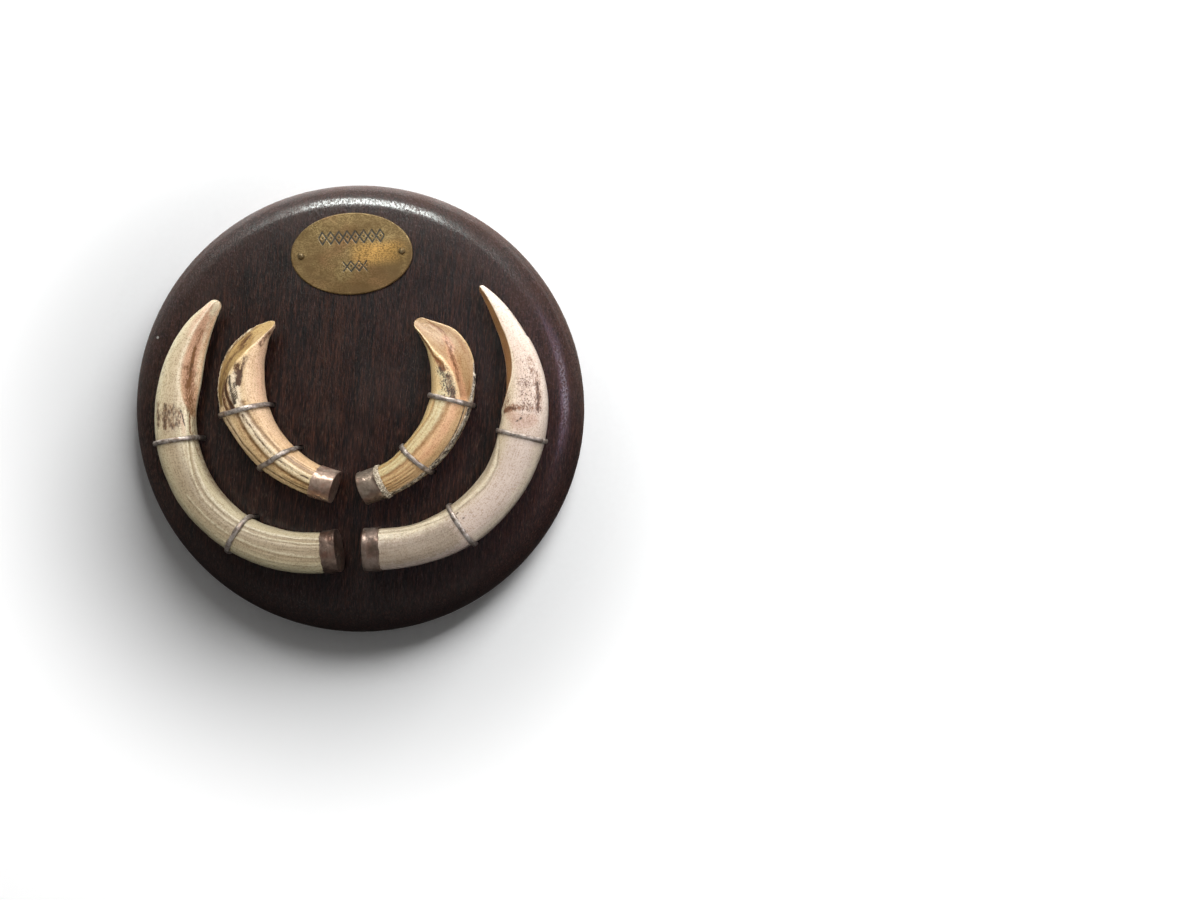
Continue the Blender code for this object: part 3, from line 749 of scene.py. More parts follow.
def new_group(name, inputs, outputs, kind_of_tree="ShaderNodeTree"):
    """An empty node group with named sockets, and its input and output nodes."""
    tree = bpy.data.node_groups.new(name, kind_of_tree)
    for label, kind, default in inputs:
        socket = tree.interface.new_socket(label, in_out="INPUT", socket_type=SOCKETS[kind])
        if default is not None:
            socket.default_value = (*default, 1.0) if kind == "colour" else default
    for label, kind in outputs:
        tree.interface.new_socket(label, in_out="OUTPUT", socket_type=SOCKETS[kind])
    entry = tree.nodes.new("NodeGroupInput")
    leave = tree.nodes.new("NodeGroupOutput")
    return tree, entry.outputs, leave.inputs


def use_group(tree, name, **values):
    made = tree.nodes.new("ShaderNodeGroup")
    made.node_tree = bpy.data.node_groups[name]
    for label, value in values.items():
        put(tree, made.inputs[label], value)
    return made.outputs


def stain(tree, part, vector, size, breakup):
    """One of a tusk's masks, broken up as a stain that has sunk in unevenly."""
    made = use_group(tree, "broken stain", Mask=mask(tree, part), Vector=vector, Size=size, Breakup=breakup)
    return made["Stain"]


def grown(mesh, tree, values):
    """The mesh that a Geometry Nodes tree makes of this one, given these inputs."""
    thing = bpy.data.objects.new(mesh.name, mesh)
    bpy.context.scene.collection.objects.link(thing)
    modifier = thing.modifiers.new(tree.name, "NODES")
    modifier.node_group = tree
    for item in tree.interface.items_tree:
        if item.in_out == "INPUT" and item.name in values:
            modifier[item.identifier] = values[item.name]
    graph = bpy.context.evaluated_depsgraph_get()
    made = bpy.data.meshes.new_from_object(thing.evaluated_get(graph))
    bpy.data.objects.remove(thing, do_unlink=True)
    return made


def build_grain_group():
    """Fibre lines along the third axis of a vector: a strength, and a fine height for bump."""
    tree, given, leave = new_group(
        "fibre grain",
        [
            ("Vector", "vector", None),
            ("Across", "value", 900.0),
            ("Along", "value", 45.0),
            ("Contrast", "value", 0.5),
        ],
        [("Lines", "value"), ("Height", "value")],
    )
    scale = node(
        tree, "ShaderNodeCombineXYZ", {"X": given["Across"], "Y": given["Across"], "Z": given["Along"]}
    )
    lengthened = node(tree, "ShaderNodeVectorMath", operation="MULTIPLY")
    put(tree, lengthened.inputs[0], given["Vector"])
    put(tree, lengthened.inputs[1], scale.outputs[0])
    coarse = noise(tree, lengthened.outputs[0], 1.0, 3.0, 0.6, 0.4)
    fine = noise(tree, lengthened.outputs[0], 3.1, 2.0, 0.5)
    both = plus(tree, times(tree, coarse, 0.7), times(tree, fine, 0.3))
    low = minus(tree, 0.5, times(tree, given["Contrast"], 0.5))
    high = plus(tree, 0.52, times(tree, given["Contrast"], 0.3))
    put(tree, leave["Lines"], remap(tree, both, low, high))
    put(tree, leave["Height"], both)


def build_stain_group():
    """A soft mask broken up by noise, as a stain that has sunk in unevenly."""
    tree, given, leave = new_group(
        "broken stain",
        [
            ("Mask", "value", 0.0),
            ("Vector", "vector", None),
            ("Size", "value", 700.0),
            ("Breakup", "value", 0.6),
        ],
        [("Stain", "value")],
    )
    patches = noise(tree, given["Vector"], given["Size"], 4.0, 0.65, 0.3)
    centred = minus(tree, patches, 0.5)
    pushed = times(tree, centred, times(tree, given["Breakup"], 2.6))
    edged = plus(tree, given["Mask"], times(tree, pushed, remap(tree, given["Mask"], 0.0, 0.3)))
    put(tree, leave["Stain"], remap(tree, edged, 0.06, 0.80))


def build_tarnish_group():
    """Old metal: patches of tarnish over the clean metal, with a colour, a roughness and a height."""
    tree, given, leave = new_group(
        "tarnish",
        [
            ("Vector", "vector", None),
            ("Clean", "colour", (0.5, 0.5, 0.5)),
            ("Dull", "colour", (0.1, 0.08, 0.07)),
            ("Warm", "colour", (0.3, 0.2, 0.15)),
            ("Size", "value", 220.0),
            ("Amount", "value", 0.5),
        ],
        [("Colour", "colour"), ("Roughness", "value"), ("Height", "value")],
    )
    broad = noise(tree, given["Vector"], given["Size"], 5.0, 0.62, 0.6)
    fine = noise(tree, given["Vector"], times(tree, given["Size"], 6.0), 3.0, 0.6)
    edge = minus(tree, 0.72, times(tree, given["Amount"], 0.44))
    both = plus(tree, times(tree, broad, 0.85), times(tree, fine, 0.15))
    dull = remap(tree, both, minus(tree, edge, 0.22), plus(tree, edge, 0.22))
    warm = noise(tree, stretched(tree, given["Vector"], (1.0, 1.3, 1.0), (0.4, 0.0, 0.9)), given["Size"], 2.0)
    clean = blend_colour(tree, remap(tree, warm, 0.42, 0.66), given["Clean"], given["Warm"])
    put(tree, leave["Colour"], blend_colour(tree, dull, clean, given["Dull"]))
    put(tree, leave["Roughness"], plus(tree, 0.24, times(tree, dull, 0.26)))
    put(tree, leave["Height"], both)


def build_dust_group():
    """Specks and a thin film of dust: a mask."""
    tree, given, leave = new_group(
        "dust", [("Vector", "vector", None), ("Amount", "value", 0.3)], [("Dust", "value")]
    )
    cells = node(tree, "ShaderNodeTexVoronoi", {"Vector": given["Vector"], "Scale": 420.0, "Randomness": 1.0})
    specks = remap(tree, cells.outputs["Distance"], 0.10, 0.04)
    chosen = remap(tree, noise(tree, given["Vector"], 90.0, 2.0), 0.56, 0.70)
    film = remap(tree, noise(tree, given["Vector"], 24.0, 4.0, 0.6), 0.45, 0.75)
    both = plus(tree, times(tree, specks, chosen), times(tree, film, 0.12))
    put(tree, leave["Dust"], times(tree, both, given["Amount"], clamp=True))


def new_material(name):
    """A material with a Principled shader, and its tree and shader inputs."""
    material = bpy.data.materials.new(name)
    material.use_nodes = True
    tree = material.node_tree
    return material, tree, tree.nodes["Principled BSDF"].inputs


def bump(tree, shader, *layers):
    """Bump from (height, strength, distance) layers, one on another."""
    normal = None
    for height, strength, distance in layers:
        made = node(tree, "ShaderNodeBump", {"Height": height, "Strength": strength, "Distance": distance})
        put(tree, made.inputs["Normal"], normal)
        normal = made.outputs[0]
    put(tree, shader["Normal"], normal)


# ------------------------------------------------------------------ materials


def wood_material(colours):
    """Dark stained wood: upright grain, open pores, redder heart streaks and an old varnish."""
    material, tree, shader = new_material("dark stained wood")
    spot = own_coordinates(tree)
    leaned = stretched(tree, spot, (1.0, 1.0, 1.0), (0.0, math.radians(-5.0), 0.0))
    bands = stretched_noise(tree, leaned, (34.0, 34.0, 5.0), 3.0, 0.55, 0.6)
    figure = stretched_noise(tree, leaned, (520.0, 520.0, 26.0), 4.0, 0.6, 0.3)
    fibres = stretched_noise(tree, leaned, (2100.0, 2100.0, 170.0), 2.0, 0.6)
    colour = blend_colour(tree, remap(tree, figure, 0.28, 0.66), colours.wood_dark, colours.wood_mid)
    place = node(tree, "ShaderNodeSeparateXYZ", {"Vector": leaned}).outputs
    heart = math_node(tree, "ABSOLUTE", minus(tree, place["X"], HEART_PLACE[0]))
    level = math_node(tree, "ABSOLUTE", minus(tree, place["Z"], HEART_PLACE[1]))
    heart = times(tree, remap(tree, heart, 0.014, 0.002), remap(tree, level, 0.050, 0.016))
    heart = plus(tree, heart, remap(tree, bands, 0.54, 0.74, 0.0, 0.4))
    red = times(tree, heart, remap(tree, figure, 0.40, 0.60))
    colour = blend_colour(tree, red, colour, colours.wood_red)
    colour = blend_colour(tree, remap(tree, fibres, 0.54, 0.34, 0.0, 0.85), colour, colours.wood_dark)
    colour = blend_colour(tree, remap(tree, fibres, 0.52, 0.70, 0.0, 0.65), colour, colours.wood_pale)

    # Pores in groups, filled pale, and dust.
    pores = stretched_noise(tree, leaned, (2700.0, 2700.0, 330.0), 2.0, 0.6)
    groups = stretched_noise(tree, leaned, (120.0, 120.0, 22.0), 3.0, 0.6)
    flecks = times(tree, remap(tree, pores, 0.56, 0.72), remap(tree, groups, 0.36, 0.62, 0.15, 1.0))
    colour = blend_colour(tree, times(tree, flecks, 0.5), colour, colours.wood_fleck)
    dust = use_group(tree, "dust", Vector=spot, Amount=0.8)["Dust"]
    colour = blend_colour(tree, dust, colour, srgb(150, 140, 130))

    # The rim is rubbed and speckled, with one pale chip. The rubbing is heavier towards the top,
    # so the upper rim is partly painted light, and the board is painted darker low down as painted shade.
    wear = stretched_noise(tree, spot, (60.0, 60.0, 60.0), 5.0, 0.65)
    grit = stretched_noise(tree, spot, (1150.0, 1150.0, 800.0), 2.0, 0.6)
    face = stretched(tree, spot, (1.0, 0.0, 1.0))
    from_middle = node(tree, "ShaderNodeVectorMath", {"Vector": face}, operation="LENGTH").outputs["Value"]
    edge = remap(tree, from_middle, 0.084, 0.100)
    # the rim's wear is weighted towards the top: real rubbing, and painted light on the upper rim
    edge = times(tree, edge, remap(tree, place["Z"], -0.02, 0.05, 0.25, 1.0))
    rubbed = times(tree, edge, remap(tree, wear, 0.40, 0.62, 0.1, 0.6))
    colour = blend_colour(tree, rubbed, colour, colours.wood_red)
    speckled = times(tree, edge, remap(tree, grit, 0.50, 0.66, 0.0, 0.7))
    colour = blend_colour(tree, speckled, colour, colours.wood_speck)
    chip = node(tree, "ShaderNodeVectorMath", {"Vector": face}, operation="DISTANCE")
    put(tree, chip.inputs[1], RIM_CHIP)
    chipped = remap(tree, chip.outputs["Value"], 0.0009, 0.0005)
    chipped = times(tree, chipped, remap(tree, place["Y"], -0.004, -0.008))
    # painted shade: the colour darkens towards the bottom of the board, where less light falls
    colour = blend_colour(tree, remap(tree, place["Z"], -0.045, -0.100, 0.0, 0.55), colour, colours.wood_dark)

    # The old varnish is worn off in places, and thinner on the board's outer side.
    varnish = times(tree, remap(tree, wear, 0.35, 0.7, 1.0, 0.7), remap(tree, grit, 0.60, 0.42, 0.15, 1.0))
    outside = remap(tree, from_middle, 0.101, 0.109)
    varnish = times(tree, varnish, remap(tree, outside, 0.0, 1.0, 1.0, 0.3, False))
    rough = plus(tree, remap(tree, wear, 0.3, 0.75, 0.34, 0.44), times(tree, outside, 0.25))
    put(tree, shader["Base Color"], blend_colour(tree, chipped, colour, srgb(236, 234, 230)))
    put(tree, shader["Roughness"], rough)
    put(tree, shader["Coat Weight"], varnish)
    shader["Coat Roughness"].default_value = 0.17
    shader["Specular IOR Level"].default_value = 0.25
    bump(tree, shader, (fibres, 0.5, 0.0003), (pores, 0.6, 0.0003), (grit, 0.5, 0.0003))
    return material


def ivory_material(name, tints, grain, sheen):
    """Ivory read from a tusk's own masks: bend, belly and hollow side, facet, grooves and stains.
    Grooves are darkened partly as painted shade, and ridges paled partly as painted highlight.
    """
    material, tree, shader = new_material(name)
    lay = mask(tree, "lay", "Vector")
    bend = mask(tree, "bend")
    fibres = use_group(tree, "fibre grain", Vector=lay, Across=700.0, Along=26.0, Contrast=0.55)
    fine = use_group(tree, "fibre grain", Vector=lay, Across=2400.0, Along=120.0, Contrast=0.7)
    cloud = stretched_noise(tree, lay, (110.0, 110.0, 42.0), 4.0, 0.6, 0.5)

    # bend, belly and hollow sides: partly the ivory's own tone, partly painted light on sides the lamps leave
    # darker
    colour = blend_colour(tree, remap(tree, bend, 0.05, 0.95), tints["belly"], tints["bend"])
    colour = blend_colour(tree, remap(tree, bend, -0.15, -0.85), colour, tints["hollow"])
    colour = blend_colour(tree, remap(tree, cloud, 0.45, 0.75, 0.0, 0.55), colour, tints["cloud"])
    streaks = times(tree, fibres["Lines"], grain)
    colour = blend_colour(tree, streaks, colour, tints["streak"])

    facet_lines = stretched_noise(tree, lay, (420.0, 420.0, 34.0), 4.0, 0.6, 0.8, turn=(0.1, 0.0, 0.0))
    facet_lines = remap(tree, facet_lines, 0.46, 0.74, 0.0, 0.75)
    facet = blend_colour(tree, facet_lines, tints["facet"], tints["facet_streak"])
    colour = blend_colour(tree, mask(tree, "worn"), colour, facet)
    # grooves darken partly as painted shade, and ridges pale partly as painted highlight
    for part, size, breakup, strength in (
        ("blush", 260.0, 0.35, 0.55),
        ("ridge", 500.0, 0.35, 0.85),
        ("groove", 600.0, 0.4, 0.7),
    ):
        there = times(tree, stain(tree, part, lay, size, breakup), strength)
        colour = blend_colour(tree, there, colour, tints[part])
    # painted highlight along the facet's crest and foot, from the rim mask
    colour = blend_colour(tree, times(tree, mask(tree, "rim"), 0.75), colour, tints["rim"])

    pits = noise(tree, lay, 1500.0, 3.0, 0.7)
    rings = stretched_noise(tree, lay, (200.0, 200.0, 1500.0), 3.0, 0.7)
    mottle = plus(tree, times(tree, pits, 0.5), times(tree, rings, 0.15))
    mottle = plus(tree, mottle, times(tree, fine["Height"], 0.35))
    darker = remap(tree, mottle, 0.47, 0.61, 0.0, 0.74)
    lighter = remap(tree, mottle, 0.50, 0.38, 0.0, 0.6)
    colour = blend_colour(tree, darker, colour, tints["streak"], "MULTIPLY")
    colour = blend_colour(tree, lighter, colour, tints["light"], "SCREEN")

    along_fibres = stretched(tree, lay, (1.0, 1.0, 0.35))
    brown = stain(tree, "brown", along_fibres, 1300.0, 0.75)
    colour = blend_colour(tree, times(tree, brown, 1.1, clamp=True), colour, tints["brown"])
    drawn_out = stretched(tree, lay, (1.0, 1.0, tints["dot"]))
    dots = node(tree, "ShaderNodeTexVoronoi", {"Vector": drawn_out, "Scale": 1350.0}).outputs["Distance"]
    clumps = noise(tree, stretched(tree, lay, (1.0, 1.0, 0.4)), 620.0, 3.0, 0.65)
    reach = times(tree, mask(tree, "speck"), remap(tree, clumps, 0.34, 0.60, 0.14, 0.74, False))
    dotted = remap(tree, minus(tree, reach, dots), -0.30, 0.30)
    colour = blend_colour(tree, times(tree, dotted, 0.9), colour, tints["speck"])
    black = stain(tree, "black", along_fibres, 1500.0, 0.6)
    colour = blend_colour(tree, times(tree, black, 0.92), colour, tints["black"])

    crust_noise = stretched_noise(tree, lay, (800.0, 800.0, 500.0), 5.0, 0.7, 0.6)
    crust = blend_colour(tree, remap(tree, crust_noise, 0.42, 0.58), tints["crust_dark"], tints["crust_pale"])
    crusted = stain(tree, "crust", lay, 500.0, 0.4)
    colour = blend_colour(tree, crusted, colour, crust)

    # painted shade: the root mask darkens the ivory towards its lower end
    colour = blend_colour(tree, mask(tree, "root"), colour, tints["root"], "MULTIPLY")
    put(tree, shader["Base Color"], colour)
    rough = plus(tree, sheen, times(tree, cloud, 0.12))
    rough = plus(tree, rough, times(tree, crusted, 0.35))
    put(tree, shader["Roughness"], plus(tree, rough, times(tree, brown, 0.15)))
    shader["Specular IOR Level"].default_value = 0.5
    shader["Coat Weight"].default_value = 0.18
    shader["Coat Roughness"].default_value = 0.28
    bump(
        tree, shader,
        (fine["Height"], 0.30, 0.00018),
        (fibres["Height"], 0.35, 0.00035),
        (pits, 0.35, 0.0002),
        (times(tree, crust_noise, crusted), 0.8, 0.0006),
    )
    return material


def tarnished_material(name, clean, dull, warm, size, amount, shaded_ends=False):
    """Old metal from the tarnish group, with fine scratches and dents."""
    material, tree, shader = new_material(name)
    spot = own_coordinates(tree)
    metal = use_group(
        tree, "tarnish", Vector=spot, Clean=clean, Dull=dull, Warm=warm, Size=size, Amount=amount
    )
    dust = use_group(tree, "dust", Vector=spot, Amount=0.35)["Dust"]
    colour = blend_colour(tree, dust, metal["Colour"], srgb(150, 140, 125))
    # painted shade: the wire darkens at its ends, where it goes down into the board
    if shaded_ends:
        colour = blend_colour(tree, mask(tree, "ends"), colour, srgb(52, 46, 42))
    put(tree, shader["Base Color"], colour)
    put(tree, shader["Roughness"], metal["Roughness"])
    shader["Metallic"].default_value = 0.8
    dents = noise(tree, spot, size * 1.6, 2.0, 0.5)
    scratches = stretched_noise(tree, spot, (2600.0, 2600.0, 420.0), 2.0, 0.6, turn=(0.5, 0.3, 0.0))
    bump(tree, shader, (dents, 0.35, 0.0008), (scratches, 0.35, 0.00015))
    return material


def filler_material():
    """Pale crumbly filler with darker pits."""
    material, tree, shader = new_material("crumbly filler")
    spot = own_coordinates(tree)
    grains = noise(tree, spot, 1400.0, 5.0, 0.7, 0.4)
    patches = noise(tree, spot, 420.0, 3.0, 0.6)
    colour = blend_colour(tree, remap(tree, grains, 0.38, 0.62), srgb(116, 104, 88), srgb(212, 200, 178))
    colour = blend_colour(tree, remap(tree, patches, 0.50, 0.70, 0.0, 0.7), colour, srgb(136, 120, 98))
    put(tree, shader["Base Color"], colour)
    shader["Roughness"].default_value = 0.9
    bump(tree, shader, (grains, 0.8, 0.0006))
    return material


def plate_material(colours):
    """Aged sheet brass with cloudy tarnish, darker low on the right, and dark-filled engraving."""
    material, tree, shader = new_material("aged plate brass")
    spot = own_coordinates(tree)
    leaned = stretched(tree, spot, (1.0, 1.0, 1.0), (0.0, 0.6, 0.0))
    metal = use_group(
        tree, "tarnish", Vector=leaned, Clean=colours.brass_clean, Dull=colours.brass_dull,
        Warm=colours.brass_warm, Size=70.0, Amount=0.50,
    )
    low_right = mask(tree, "shade")
    cloud = stretched_noise(tree, spot, (60.0, 60.0, 60.0), 5.0, 0.65, 0.8)
    shade = times(tree, low_right, remap(tree, cloud, 0.34, 0.54, 0.2, 1.0))
    # painted reflection: a brighter golden patch across the middle right of the plate
    golden = times(tree, mask(tree, "golden"), remap(tree, cloud, 0.30, 0.60, 0.5, 1.0))
    colour = blend_colour(tree, golden, metal["Colour"], srgb(204, 160, 88))
    colour = blend_colour(tree, times(tree, shade, 0.85), colour, colours.brass_dull)
    brushed = stretched_noise(tree, spot, (40.0, 40.0, 2600.0), 3.0, 0.6, turn=(0.0, 0.25, 0.0))
    colour = blend_colour(tree, remap(tree, brushed, 0.45, 0.7, 0.0, 0.35), colour, colours.brass_dull)
    grit = noise(tree, stretched(tree, spot, (1.0, 1.0, 1.6), (0.0, 0.3, 0.0)), 1150.0, 2.0, 0.6)
    colour = blend_colour(tree, remap(tree, grit, 0.42, 0.60, 0.0, 0.75), colour, colours.brass_dull)
    rubbed = noise(tree, spot, 900.0, 4.0, 0.6)
    ink = times(tree, mask(tree, "engraved"), remap(tree, rubbed, 0.30, 0.52, 0.55, 1.0))
    colour = blend_colour(tree, ink, colour, srgb(36, 36, 28))
    put(tree, shader["Base Color"], colour)
    put(tree, shader["Metallic"], minus(tree, 0.55, times(tree, ink, 0.5)))
    put(tree, shader["Roughness"], plus(tree, metal["Roughness"], times(tree, ink, 0.3)))
    bump(tree, shader, (brushed, 0.3, 0.00015), (grit, 0.3, 0.0001), (metal["Height"], 0.25, 0.0004))
    return material


def stage_paint(name, colour, own_light, tones_unseen, glow_above=0.0):
    """Matt pale paint. The camera sees it glow a little further out from the board. Other rays see
    tones that change from low down to higher up, and a glow above.
    """
    material, tree, shader = new_material(name)
    seen = node(tree, "ShaderNodeLightPath").outputs["Is Camera Ray"]
    grain = remap(tree, noise(tree, own_coordinates(tree), 300.0, 3.0, 0.6), 0.3, 0.7, 0.0, 0.03)
    painted = blend_colour(tree, grain, tuple(colour), (0.5, 0.5, 0.5))
    height = node(tree, "ShaderNodeSeparateXYZ", {"Vector": own_coordinates(tree)}).outputs["Z"]
    unseen = blend_colour(tree, remap(tree, height, -0.06, 0.10), *tones_unseen)
    put(tree, shader["Base Color"], blend_colour(tree, seen, unseen, painted))
    shader["Roughness"].default_value = 0.85
    shader["Specular IOR Level"].default_value = 0.1
    shader["Emission Color"].default_value = (1.0, 1.0, 1.0, 1.0)
    far = node(tree, "ShaderNodeVectorMath", {"Vector": own_coordinates(tree)}, operation="LENGTH")
    lit = remap(tree, far.outputs["Value"], 0.115, 0.25, own_light, own_light + 0.56)
    above = remap(tree, height, 0.095, 0.15, 0.0, glow_above)
    above = times(tree, minus(tree, 1.0, seen), above)
    put(tree, shader["Emission Strength"], plus(tree, times(tree, seen, lit), above))
    return material, tree


def wall_material(colours):
    """The wall is clear from behind, so that the back of the board can be seen."""
    material, tree = stage_paint("pale wall", colours.wall_colour, 0.0, WALL_TONES_UNSEEN, 2.4)
    clear = node(tree, "ShaderNodeBsdfTransparent")
    behind = node(tree, "ShaderNodeNewGeometry").outputs["Backfacing"]
    mixed = node(tree, "ShaderNodeMixShader")
    put(tree, mixed.inputs[0], behind)
    put(tree, mixed.inputs[1], tree.nodes["Principled BSDF"].outputs[0])
    put(tree, mixed.inputs[2], clear.outputs[0])
    put(tree, tree.nodes["Material Output"].inputs["Surface"], mixed.outputs[0])
    return material


def floor_material(colours):
    return stage_paint("pale floor", colours.wall_colour, 0.1, FLOOR_TONES_UNSEEN)[0]


# What the pieces reflect of the wall and the floor: a tone low down and one higher up.
WALL_TONES_UNSEEN = ((0.12, 0.12, 0.12), (0.95, 0.90, 0.84))
FLOOR_TONES_UNSEEN = ((0.08, 0.08, 0.08), (0.08, 0.08, 0.08))

RIM_CHIP = (-0.0987, 0.0, 0.035)  # a small pale chip on the rim
HEART_PLACE = (-0.014, 0.020)  # the redder heartwood, across and up the board

# What each tusk's ivory is coloured with.
IVORY = {
    "outer_left": dict(
        bend=srgb(222, 216, 182), belly=srgb(188, 172, 144), hollow=srgb(232, 222, 190),
        cloud=srgb(176, 158, 130), streak=srgb(168, 150, 122), facet=srgb(208, 176, 142),
        facet_streak=srgb(160, 118, 82), blush=srgb(208, 160, 138), ridge=srgb(228, 218, 190),
        groove=srgb(158, 136, 100), rim=srgb(216, 204, 176), brown=srgb(112, 74, 42),
        black=srgb(52, 36, 26), speck=srgb(76, 56, 43), crust_dark=srgb(92, 74, 56),
        crust_pale=srgb(206, 196, 172), light=srgb(66, 64, 52), root=srgb(205, 203, 200),
        dot=0.28,
    ),
    "outer_right": dict(
        bend=srgb(222, 208, 198), belly=srgb(224, 208, 196), hollow=srgb(214, 202, 172),
        cloud=srgb(206, 188, 172), streak=srgb(196, 176, 156), facet=srgb(172, 128, 84),
        facet_streak=srgb(122, 82, 48), blush=srgb(190, 152, 132), ridge=srgb(240, 232, 204),
        groove=srgb(136, 124, 100), rim=srgb(236, 222, 196), brown=srgb(134, 92, 66),
        black=srgb(58, 40, 30), speck=srgb(96, 62, 46), crust_dark=srgb(92, 74, 56),
        crust_pale=srgb(206, 196, 172), light=srgb(96, 92, 88), root=srgb(222, 220, 220),
        dot=0.8,
    ),
    "inner_left": dict(
        bend=srgb(255, 234, 194), belly=srgb(206, 182, 140), hollow=srgb(234, 206, 178),
        cloud=srgb(196, 162, 112), streak=srgb(176, 140, 94), facet=srgb(172, 146, 96),
        facet_streak=srgb(124, 94, 50), blush=srgb(232, 190, 162), ridge=srgb(218, 206, 182),
        groove=srgb(120, 84, 42), rim=srgb(226, 204, 160), brown=srgb(80, 48, 22),
        black=srgb(38, 24, 15), speck=srgb(60, 42, 28), crust_dark=srgb(96, 70, 44),
        crust_pale=srgb(204, 192, 164), light=srgb(64, 54, 36), root=srgb(240, 234, 214),
        dot=0.5,
    ),
    "inner_right": dict(
        bend=srgb(222, 190, 150), belly=srgb(214, 186, 142), hollow=srgb(212, 194, 146),
        cloud=srgb(208, 168, 120), streak=srgb(190, 152, 106), facet=srgb(166, 136, 98),
        facet_streak=srgb(148, 104, 64), blush=srgb(220, 164, 132), ridge=srgb(204, 196, 160),
        groove=srgb(150, 106, 58), rim=srgb(216, 194, 150), brown=srgb(116, 74, 42),
        black=srgb(44, 32, 26), speck=srgb(56, 42, 34), crust_dark=srgb(58, 48, 42),
        crust_pale=srgb(208, 198, 180), light=srgb(64, 54, 38), root=srgb(226, 222, 206),
        dot=0.7,
    ),
}


# ------------------------------------------------------------------ settings


class PlaqueLook(bpy.types.PropertyGroup):
    """Sizes and colours that a user would change."""

    wood_dark: bpy.props.FloatVectorProperty(
        name="Dark Wood", description="The board's darkest grain", subtype="COLOR", default=srgb(24, 13, 10)
    )
    wood_mid: bpy.props.FloatVectorProperty(
        name="Wood", description="The board's usual colour", subtype="COLOR", default=srgb(78, 45, 34)
    )
    wood_red: bpy.props.FloatVectorProperty(
        name="Red Streaks", description="Redder heartwood streaks", subtype="COLOR", default=srgb(94, 58, 42)
    )
    wood_pale: bpy.props.FloatVectorProperty(
        name="Pale Fibres", description="The board's palest fibres", subtype="COLOR",
        default=srgb(124, 82, 66)
    )
    wood_speck: bpy.props.FloatVectorProperty(
        name="Rim Specks", description="Rubbed specks on the rim", subtype="COLOR", default=srgb(122, 90, 88)
    )
    wood_fleck: bpy.props.FloatVectorProperty(
        name="Pores", description="Pale filled pores", subtype="COLOR", default=srgb(156, 134, 116)
    )
    brass_clean: bpy.props.FloatVectorProperty(
        name="Brass", description="Clean brass", subtype="COLOR", size=4, default=(*srgb(176, 154, 106), 1.0)
    )
    brass_dull: bpy.props.FloatVectorProperty(
        name="Dull Brass", description="Tarnished brass", subtype="COLOR", size=4,
        default=(*srgb(90, 70, 38), 1.0)
    )
    brass_warm: bpy.props.FloatVectorProperty(
        name="Warm Brass", description="Browner patches", subtype="COLOR", size=4,
        default=(*srgb(162, 126, 88), 1.0)
    )
    wire_width: bpy.props.FloatProperty(
        name="Wire Width", description="Flattened wire, along the tusk", unit="LENGTH", default=2.5 * MM
    )
    wire_thickness: bpy.props.FloatProperty(
        name="Wire Thickness", description="Flattened wire, off the tusk", unit="LENGTH", default=1.4 * MM
    )
    cap_wall: bpy.props.FloatProperty(
        name="Cap Wall", description="Sheet metal of the caps", unit="LENGTH", default=0.7 * MM
    )
    wall_colour: bpy.props.FloatVectorProperty(
        name="Wall", description="Wall and floor paint", subtype="COLOR", default=(0.93, 0.93, 0.93)
    )
    lamp_power: bpy.props.FloatProperty(
        name="Lamp Power", description="Strength of all the lamps together", default=1.0, min=0.0
    )


def look():
    return bpy.context.scene.plaque_look


# ------------------------------------------------------------------ pieces

FACE_RADIUS = 99.5
CROWN_RADIUS = 86.0
CROWN_DROP = 0.45
EDGE_DROP = 13.0
BACK_RADIUS = 108.0
NAIL_HOLE_RADIUS = 2.0
NAIL_HOLE_DEPTH = 9.0
NAIL_UP = 84.0
WIRE_HOLE_RADIUS = 1.5
WIRE_HOLE_DEPTH = 6.0
PIN_HOLE_RADIUS = 0.9
PIN_REACH = 6.0
DRILL_CLEAR = 3  # how far a drill stands out of the board
BOARD_STEPS = 288
HOOP_GAP = 0.12  # between a hoop and its tusk
HOOP_WRAP = math.radians(26.0)  # how far a hoop goes round behind the tusk's sides
FOOT_GAP = 0.4  # between a hoop's foot and the bottom of its hole
WIRE_SIDES = 20
PLATE_TURN = math.radians(3.0)
SUNK = 0.25  # how far the plate's back reaches under the board's face
WALL_GAP = 0.0004
WALL_HOLE = 0.106
WALL_REACH = 4.0
FLOOR_LEVEL = -0.27

LENS = 28.5
CAMERA_PLACE = (0.1215, -(BOARD_THICKNESS * MM + 0.4716), -0.021)
LAMP_AIM = (0.0, -0.02, 0.0)
IVORY_AND_METAL = "ivory and metal"
SOFT = "visible_glossy"  # a lamp that reflections don't show
GLINT = "visible_diffuse"  # a lamp that only reflections show

